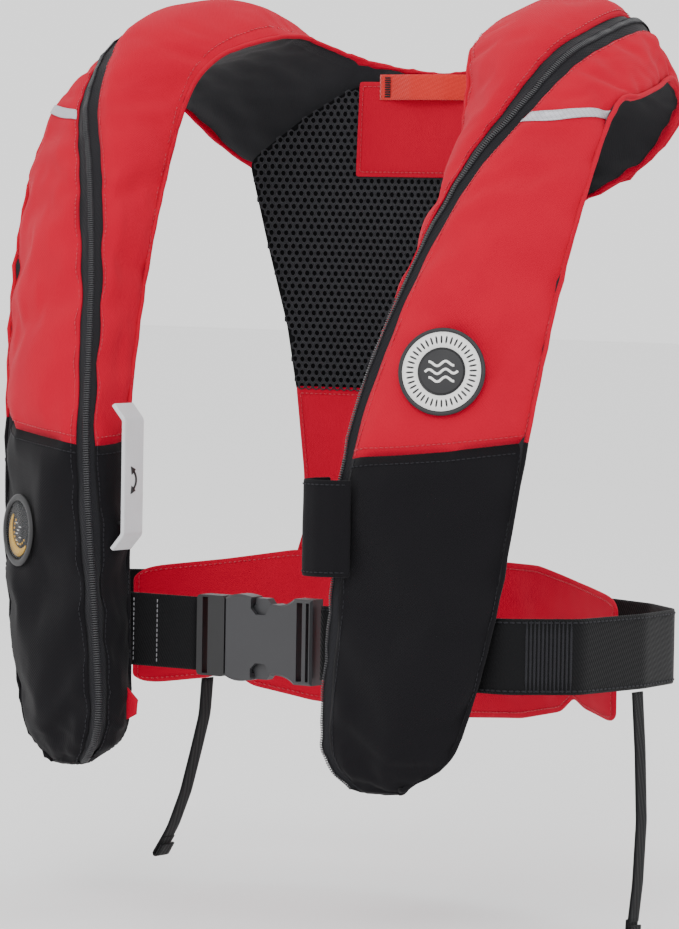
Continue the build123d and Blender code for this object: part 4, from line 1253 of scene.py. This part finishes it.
class LIFE_OT_loop(bpy.types.Operator):
    """Sew the hanging loop on the yoke, with its bar tacks"""

    bl_idname = "life_jacket.loop"
    bl_label = "Hanging loop"

    def execute(self, context):
        edge = back_at(0) - 0.0016
        route = [(-44, edge / MM - 3.4), (-34, edge / MM - 4.0), (-14, edge / MM - 9),
                 (14, edge / MM - 9), (34, edge / MM - 4.0), (44, edge / MM - 3.4)]
        path = rounded_route([(x * MM, y * MM, -0.008) for x, y in route], 0.012, 0.002)
        loop = strap("hanging_loop_web", path, UPWARD, LOOP_WIDTH, LOOP_THICK)
        dressed(loop, "loop", replaces=("hanging_loop",))
        tacks = []
        for way in (-1, 1):
            for k in range(9):
                x = way * (0.0345 + 0.0006 * k)
                y = edge - 0.0052 + 0.00012 * k
                tacks.append((np.array([(x, y, -0.0005), (x, y, -0.0155)]),
                              np.tile(FORWARD, (2, 1))))
        stitched("loop_bar_tacks", tacks, "black_thread", pitch=0.0016)
        return {"FINISHED"}


# ---- belt, buckle and tails --------------------------------------------------------------------
BELT_WIDTH, BELT_THICK = 0.050, 0.0020
TAIL_WIDTH, TAIL_THICK = 0.013, 0.0015
BELT_Z = -0.385
BELT_Y = -0.081
BELT_ROUTE = [(61, -81), (206, -79), (242, -46), (251, 22), (247, 70), (210, 99), (112, 138),
              (0, 154), (-112, 138), (-210, 99), (-247, 70), (-249, 8), (-226, -38), (-200, -74),
              (-120, -77)]
LEFT_TAIL = [(249, 18, -412), (252, 18, -452), (254, 18, -498), (252, 18, -540), (249, 18, -566)]
RIGHT_TAIL = [(-34, -79, -415), (-36, -79, -440), (-43, -79, -466), (-51, -79, -494),
              (-61, -79, -518), (-67, -79, -528)]


class LIFE_OT_belt(bpy.types.Operator):
    """Weave the waist belt, its front strap and the stitching on them"""

    bl_idname = "life_jacket.belt"
    bl_label = "Waist belt"

    def execute(self, context):
        path = rounded_route([(x * MM, y * MM, BELT_Z) for x, y in BELT_ROUTE], 0.020, 0.004)
        belt = strap("belt_web", path, UPWARD, BELT_WIDTH, BELT_THICK)
        dressed(belt, "webbing", replaces=("belt_webbing",))
        front = rounded_route([(-0.175, BELT_Y, BELT_Z), (-0.1, BELT_Y, BELT_Z),
                               (-0.042, BELT_Y, BELT_Z)], 0.02, 0.004)
        web = strap("front_strap_web", front, UPWARD, BELT_WIDTH, BELT_THICK)
        dressed(web, "webbing", "buckle_male", ("belt_front_strap",))
        lines = []
        for x in (-0.095, -0.075):
            lines.append((np.array([(x, BELT_Y - 0.0011, BELT_Z + z)
                                    for z in np.linspace(0.022, -0.022, 12)]),
                          np.tile(FORWARD, (12, 1))))
        stitched("front_strap_stitches", lines, "grey_thread", "buckle_male",
                 0.0032, 0.0009)
        off = units(np.cross(np.gradient(path, axis=0), UPWARD))
        selvedge = [(path + off * BELT_THICK / 2 + np.array([0, 0, z]), off)
                    for z in (0.0225, -0.0225)]
        stitched("belt_selvedge", selvedge, "black_thread", pitch=0.0042, width=0.0011)
        self.ribs(path, off)
        return {"FINISHED"}

    def ribs(self, path, off):
        """The ribbed keeper patch where the belt turns to the side."""
        pick = [i for i in range(len(path)) if path[i, 0] > 0.214 and path[i, 1] < -0.046]
        at, _, out = even_points(path[pick], 0.0026, off[pick])
        rib = bead("rib_item", 0.047, 0.0017, 0.0012)
        out = units(out)
        repeat("belt_ribs", rib, at + out * 0.0012, np.tile(UPWARD, (len(at), 1)), out,
               "black_thread", "vest")


class LIFE_OT_tails(bpy.types.Operator):
    """Hang the two adjuster tails, each with a folded end"""

    bl_idname = "life_jacket.tails"
    bl_label = "Adjuster tails"

    def execute(self, context):
        for side, route, body, end, turn in (("left", LEFT_TAIL, "vest", (248.6, 18, -573), 0),
                                             ("right", RIGHT_TAIL, "buckle_male",
                                              (-69.5, -79, -534), 30)):
            control = [np.array(p) * MM for p in route]
            path = rounded_route(control, 0.05, 0.003)
            tail = strap(f"{side}_tail_web", path, (0, 1, 0), TAIL_WIDTH, TAIL_THICK)
            dressed(tail, "webbing", body, (f"{side}_adjuster_tail",))
            stop = self.folded_end(side, end, turn, body)
        return {"FINISHED"}

    def folded_end(self, side, end, turn, body):
        """The tail's end folded twice on itself."""
        centre = np.array(end) * MM
        lean = math.radians(turn)
        down = np.array([-math.sin(lean), 0.0, -math.cos(lean)])
        off = np.array([math.cos(lean), 0.0, -math.sin(lean)])
        fold = [centre - down * 0.0090 - off * 0.0004]
        fold += [centre + down * 0.0050 - off * 0.0012, centre + down * 0.0062 + off * 0.0002,
                 centre + down * 0.0050 + off * 0.0018, centre - down * 0.0045 + off * 0.0020]
        path = rounded_route(fold, 0.001, 0.0012)
        stop = strap(f"{side}_tail_fold", path, (0, 1, 0), 0.0142, 0.0017)
        return dressed(stop, "webbing", body, (f"{side}_tail_stop",))


# ---- fittings on the covers ----------------------------------------------------------------------
def placed(points, place):
    """Flat points (x, y, height) set on a face frame."""
    origin, x_axis, y_axis, z_axis = place
    points = np.asarray(points, float)
    return (origin + points[:, :1] * x_axis + points[:, 1:2] * y_axis + points[:, 2:] * z_axis)


def turned(name, profile, place, material, slot, body="vest", replaces=(), sides=96):
    """A round piece turned from a profile of (radius, height) about a face frame."""
    points = []
    for radius, height in profile:
        for k in range(sides):
            turn = 2 * math.pi * k / sides
            points.append((radius * math.cos(turn), radius * math.sin(turn), height))
    faces = capped(len(profile), sides)
    if profile[0] == profile[-1]:
        faces = faces[:-2]
    thing = surface_object(name, placed(points, place), faces, np.array(points)[:, :2])
    mesh = bmesh.new()
    mesh.from_mesh(thing.data)
    bmesh.ops.remove_doubles(mesh, verts=mesh.verts, dist=1e-6)
    bmesh.ops.recalc_face_normals(mesh, faces=mesh.faces)
    mesh.to_mesh(thing.data)
    mesh.free()
    return dressed(thing, material, body, replaces)


def ribbon(name, line, width, low, high, place, material, body="vest"):
    """A flat raised line of one width on a face frame, given as a path of (x, y)."""
    widths = np.broadcast_to(np.asarray(width, float), (len(line),))[:, None]
    ahead = units(np.gradient(line, axis=0))
    side = np.stack([-ahead[:, 1], ahead[:, 0]], axis=1)
    left, right = line + side * widths / 2, line - side * widths / 2
    ring = [np.column_stack([edge, np.full(len(line), h)])
            for edge, h in ((left, low), (left, high), (right, high), (right, low))]
    points = np.stack(ring, axis=1).reshape(-1, 3)
    thing = outward(surface_object(name, placed(points, place), capped(len(line), 4),
                                   points[:, :2]))
    return dressed(thing, material, body)


class LIFE_OT_badge(bpy.types.Operator):
    """Fix the round badge: black rim, white ring with ticks, dark middle with plain waves"""

    bl_idname = "life_jacket.badge"
    bl_label = "Badge"

    TICKS = 40
    TICK_RADIUS = 0.0211     # from the badge's middle to the middle of a tick

    def execute(self, context):
        place = face_frame(1, *BADGE_PLACE)
        turned("badge_base", [(0.0283, 0.0), (0.029, 0.0006), (0.029, 0.0016), (0.0284, 0.0022),
                              (0.0268, 0.0022), (0.0264, 0.0017), (0.0, 0.0017)],
               place, "badge_dark", "badge_rubber", replaces=("badge",))
        turned("badge_ring", [(0.0262, 0.0016), (0.0262, 0.0021), (0.0160, 0.0021),
                              (0.0160, 0.0016), (0.0262, 0.0016)], place, "badge_white",
               "badge_rubber")
        turned("badge_middle", [(0.0148, 0.0016), (0.0147, 0.0021), (0.0140, 0.0022)], place,
               "badge_dark", "badge_rubber")
        turns = 2 * math.pi * np.arange(self.TICKS) / self.TICKS
        rays = np.stack([np.cos(turns), np.sin(turns), np.zeros(self.TICKS)], axis=1)
        ticks = rays * self.TICK_RADIUS + np.array([0, 0, 0.0021])
        item = bead("tick_item", 0.0052, 0.0013, 0.0007)
        repeat("badge_ticks", item, placed(ticks, place), placed(rays, (np.zeros(3), *place[1:])),
               np.tile(place[3], (self.TICKS, 1)), "badge_dark", "vest")
        for k, (y, reach) in enumerate(((0.0052, 0.0085), (0.0, 0.0110), (-0.0052, 0.0085))):
            xs = np.linspace(-reach, reach, 40)
            line = np.stack([xs, y + 0.0015 * np.sin(xs / 0.0055 * math.pi)], axis=1)
            ribbon(f"badge_wave_{k}", line, 0.0016, 0.0018, 0.0026, place, "badge_white")
        return {"FINISHED"}


class LIFE_OT_window(bpy.types.Operator):
    """Set the round inspection window with its rim, clear lens and indicator card"""

    bl_idname = "life_jacket.window"
    bl_label = "Window"

    def execute(self, context):
        place = face_frame(-1, *WINDOW_PLACE)
        turned("window_rim_ring", [(0.0250, 0.0000), (0.0250, 0.0009), (0.0240, 0.0018),
                                   (0.0222, 0.0021), (0.0206, 0.0017), (0.0202, 0.0008),
                                   (0.0202, 0.0000), (0.0250, 0.0000)], place, "black_plastic",
               "window_rim", replaces=("window_frame",))
        turned("window_card", [(0.0201, -0.0012), (0.0201, -0.0008)], place, "badge_dark",
               "window_rim")
        turned("window_clear_disc", [(0.0200, 0.0004), (0.0200, 0.0007), (0.0192, 0.0011)],
               place, "lens", "window_pvc", replaces=("window_lens",))
        sweep = (math.radians(-40), math.radians(140))
        turns = np.linspace(*sweep, 50)
        wide = 0.0066 * np.sin(np.linspace(0.12, math.pi - 0.12, 50)) + 0.0008
        line = np.stack([0.0152 * np.cos(turns), 0.0152 * np.sin(turns)], axis=1)
        ribbon("window_crescent", line, wide, -0.0008, -0.0002, place, "yellow_plastic")
        spots = [(0.0098 * math.cos(turn), 0.0098 * math.sin(turn), -0.0007)
                 for turn in np.linspace(*sweep, 11)]
        marks = [(0.0035 * math.cos(2.4 * k) + 0.003, 0.0024 * k - 0.0045, -0.0007)
                 for k in range(7)]
        for name, at, item, finish_name, slot in (
                ("window_spots", spots, bead("spot_item", 0.0017, 0.0017, 0.0008, 10),
                 "yellow_plastic", "yellow_plastic"),
                ("window_marks", marks, bead("mark_item", 0.0042, 0.0008, 0.0006),
                 "badge_white", "window_rim")):
            repeat(name, item, placed(at, place), np.tile(place[1], (len(at), 1)),
                   np.tile(place[3], (len(at), 1)), finish_name, "vest")
        return {"FINISHED"}


# The flap's path over the zip from the front cover to the inner one, in mm, and the tab's
# corners from its sewn one round, as (x, z).
FLAP_ROUTE = [(119.5, -134), (109.6, -142.8), (100, -146), (86.7, -143.7), (83.4, -126), (88, -112)]
TAB = [(-0.0879, -0.424), (-0.0790, -0.432), (-0.0800, -0.442), (-0.0879, -0.446)]


class LIFE_OT_flap(bpy.types.Operator):
    """Sew the zip's garage flap and the small red pull tab"""

    bl_idname = "life_jacket.flap"
    bl_label = "Flap and tab"

    def execute(self, context):
        line = rounded_route([(x * MM, y * MM, 0.0) for x, y in FLAP_ROUTE], 0.011, 0.0018)
        rows = 18
        zs = np.linspace(-0.335, -0.271, rows)
        points = np.repeat(line[None], rows, axis=0)
        points[..., 2] = zs[:, None]
        points[..., 1] += 0.0006 * wobble(points, 0.02, 9)
        flap = cloth_grid("zip_garage_flap_cloth", points, True)
        apply_modifiers(smoothed(thickened(flap, 0.0015)))
        dressed(flap, "black_nylon", replaces=("zip_garage_flap",))
        off = units(np.cross(UPWARD, np.gradient(line, axis=0)))
        off *= np.sign(off[len(off) // 2] @ np.array([-1.0, -1.0, 0.0]))
        rows = []
        for z in (-0.3318, -0.2742):
            path = line + off * 0.0008
            path[:, 2] = z
            rows.append((path[2:-2], off[2:-2]))
        stitched("flap_stitches", rows, "black_thread")
        self.tab()
        return {"FINISHED"}

    def tab(self):
        """The red tab that hangs from the foot of the right lobe."""
        corners = np.array(TAB)
        share = np.linspace(0, 1, 9)[:, None]
        head = corners[0] * (1 - share) + corners[1] * share
        foot = corners[3] * (1 - share) + corners[2] * share
        points = [(x, -0.0978 - 0.0004 * math.sin(3 * t), z)
                  for t in share[:, 0] for x, z in head * (1 - t) + foot * t]
        tab = surface_object("red_tab_cloth", points, grid_faces(9, 9), np.array(points)[:, ::2])
        apply_modifiers(thickened(tab, 0.0014))
        dressed(tab, "red_nylon", replaces=("red_pull_tab",))


class LIFE_OT_handle(bpy.types.Operator):
    """Finish the inflation handle with a raised double-ended arrow"""

    bl_idname = "life_jacket.handle"
    bl_label = "Inflation handle"

    # The middle of the handle's neck-side face, and that face's own x, y and outward axes.
    FACE = (np.array([-0.0779, -0.107, -0.281]), np.array([0.0, 1.0, 0.0]),
            np.array([0.0, 0.0, 1.0]), np.array([1.0, 0.0, 0.0]))
    SWEEP = math.radians(62)         # half the bow's turn
    WIDE, TALL = 0.0058, 0.0066      # the bow's half axes
    LINE = 0.0017                    # its thickness
    HEAD = np.array([0.0056, 0.0003])

    def execute(self, context):
        turns = np.linspace(-self.SWEEP, self.SWEEP, 24)
        line = np.stack([self.WIDE * np.cos(turns) - 0.0037, self.TALL * np.sin(turns)], axis=1)
        self.raised("handle_arrow_bow", line, self.LINE)
        for k, (tip, lean) in enumerate(((line[-1], (-0.62, 0.78)), (line[0], (-0.62, -0.78)))):
            lean = np.array(lean)
            head = np.stack([tip - lean * 0.0005, tip + lean * 0.0045])
            self.raised(f"handle_arrow_head_{k}", head, self.HEAD)
        return {"FINISHED"}

    def raised(self, name, line, width):
        """One raised stroke of the arrow, let 0.2 mm into the handle."""
        ribbon(name, line, width, -0.0002, 0.0004, self.FACE, "black_plastic",
               "handle")


# ---- finishes of the frame's own pieces ---------------------------------------------------------
CAD_FINISHES = {
    "acetal": ("buckle_female", "buckle_prong_upper", "buckle_prong_lower"),
    "black_acetal": ("buckle_male",),
    "handle": ("pull_handle",),
    "cord": ("handle_lanyard",),
    "black_plastic": ("inflator_body", "oral_tube", "oral_valve_body", "manifold_flange",
                      "sensor_cartridge"),
    "yellow_plastic": ("sensor_cap", "inflator_lever", "dust_cap"),
    "steel": ("piercing_pin", "manifold_nut", "zip_slider", "zip_puller"),
    "cylinder": ("co2_cylinder",),
    "rubber": ("cylinder_gasket", "valve_poppet"),
    "orange_plastic": ("whistle",),
}


class LIFE_OT_hardware(bpy.types.Operator):
    """Give the buckle, inflator and oral gear their finishes"""

    bl_idname = "life_jacket.hardware"
    bl_label = "Hardware"

    def execute(self, context):
        for name, nodes in CAD_FINISHES.items():
            for node in nodes:
                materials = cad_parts[node].data.materials
                materials.clear()
                materials.append(finish(name))
        return {"FINISHED"}


# ---- stage ----------------------------------------------------------------------------------------
def soft_light(name, place, target, size, power):
    """One large soft lamp aimed at a point."""
    lamp = bpy.data.lights.new(name, "AREA")
    lamp.shape = "RECTANGLE"
    lamp.size, lamp.size_y = size
    lamp.energy = power
    holder = bpy.data.objects.new(name, lamp)
    holder.location = place
    aim = Vector(target) - Vector(place)
    holder.rotation_euler = aim.to_track_quat("-Z", "Y").to_euler()
    bpy.context.scene.collection.objects.link(holder)
    return holder


class LIFE_OT_stage(bpy.types.Operator):
    """Put in the plain floor, the soft studio lights and the camera"""

    bl_idname = "life_jacket.stage"
    bl_label = "Stage"

    azimuth: FloatProperty(name="Azimuth", default=math.radians(34.45), unit="ROTATION")
    elevation: FloatProperty(name="Elevation", default=math.radians(3.11), unit="ROTATION")
    roll: FloatProperty(name="Roll", default=math.radians(0.927), unit="ROTATION")
    distance: FloatProperty(name="Distance", default=3.431, unit="LENGTH")

    TARGET = (0.018, 0.0, -0.270)    # what the camera and its roll turn about
    LENS, SENSOR = 193.5, 36.0       # focal length and sensor height, in mm
    FLOOR_REACH = 12.0
    FLOOR_GAP = 0.003                # between the longest tail and the floor

    def execute(self, context):
        reach, low = self.FLOOR_REACH, CAD_BOX[0][2] - self.FLOOR_GAP
        corners = [(x * reach, y * reach, low) for x, y in ((-1, -1), (1, -1), (1, 1), (-1, 1))]
        floor = surface_object("floor", corners, [(0, 1, 2, 3)])
        material, tree, output = new_material("painted_studio_floor")
        where = add_node(tree, "ShaderNodeTexCoord").outputs["Object"]
        shader = add_node(tree, "ShaderNodeBsdfPrincipled", {"Roughness": 0.9},
                          {"Base Color": mottled(tree, where, "#F4F4F4", 2.0, 0.985, 1.0)})
        tree.links.new(shader.outputs[0], output.inputs["Surface"])
        floor.data.materials.append(material)
        self.lights()
        self.camera(context)
        return {"FINISHED"}

    def lights(self):
        """A bright even surround with a key from the front left and a fill from the right."""
        world = bpy.data.worlds.new("studio_surround")
        bpy.context.scene.world = world
        world.use_nodes = True
        tree = world.node_tree
        tree.nodes.clear()
        glow = add_node(tree, "ShaderNodeBackground", {"Color": (1.0, 1.0, 1.0, 1.0),
                                                       "Strength": 1.5})
        output = tree.nodes.new("ShaderNodeOutputWorld")
        tree.links.new(glow.outputs[0], output.inputs["Surface"])
        middle = (0.0, 0.0, -0.25)
        soft_light("key", (1.1, -2.4, 1.5), middle, (1.0, 1.0), 30)
        soft_light("fill", (-2.2, -1.4, 0.5), middle, (1.6, 1.6), 8)
        soft_light("top", (0.2, 0.4, 2.6), middle, (1.6, 1.6), 14)

    def camera(self, context):
        """The camera on the wearer's left front, at chest height."""
        target = Vector(self.TARGET)
        a, e, t = self.azimuth, self.elevation, self.roll
        back = Vector((math.sin(a) * math.cos(e), -math.cos(a) * math.cos(e), math.sin(e)))
        right = Vector((math.cos(a), math.sin(a), 0.0))
        up = Vector((-math.sin(a) * math.sin(e), math.cos(a) * math.sin(e), math.cos(e)))
        right_rolled = right * math.cos(t) + up * math.sin(t)
        up_rolled = -right * math.sin(t) + up * math.cos(t)
        camera = bpy.data.cameras.new("camera")
        camera.sensor_fit = "VERTICAL"
        camera.sensor_height = self.SENSOR
        camera.lens = self.LENS
        camera.clip_end = 60.0
        holder = bpy.data.objects.new("camera", camera)
        turn = Matrix((right_rolled, up_rolled, back)).transposed().to_4x4()
        holder.matrix_world = Matrix.Translation(target + back * self.distance) @ turn
        context.scene.collection.objects.link(holder)
        context.scene.camera = holder


class LIFE_PT_panel(bpy.types.Panel):
    """Lists the steps that build the life jacket"""

    bl_idname = "LIFE_PT_panel"
    bl_label = "Life Jacket"
    bl_space_type = "VIEW_3D"
    bl_region_type = "UI"
    bl_category = "Life Jacket"

    def draw(self, context):
        settings = context.scene.life_jacket
        for group in (settings.sizes, settings.colours):
            box = self.layout.box()
            for key in group.bl_rna.properties.keys():
                if key not in ("rna_type", "name"):
                    box.prop(group, key)
        for operator in OPERATORS:
            self.layout.operator(operator.bl_idname)


OPERATORS = (LIFE_OT_covers, LIFE_OT_bladder, LIFE_OT_zips, LIFE_OT_seams, LIFE_OT_back, LIFE_OT_loop,
             LIFE_OT_belt, LIFE_OT_tails, LIFE_OT_badge, LIFE_OT_window, LIFE_OT_flap,
             LIFE_OT_handle, LIFE_OT_hardware, LIFE_OT_stage)
CLASSES = (JacketSizes, JacketColours, JacketSettings, *OPERATORS, LIFE_PT_panel)


def register():
    """Add the settings, the operators and the panel."""
    for each in CLASSES:
        bpy.utils.register_class(each)
    bpy.types.Scene.life_jacket = PointerProperty(type=JacketSettings)


def unregister():
    """Remove what register added."""
    del bpy.types.Scene.life_jacket
    for each in reversed(CLASSES):
        bpy.utils.unregister_class(each)


def main():
    """Build every piece."""
    register()
    for operator in OPERATORS:
        group, name = operator.bl_idname.split(".")
        getattr(getattr(bpy.ops, group), name)()


if __name__ == "__main__":
    main()
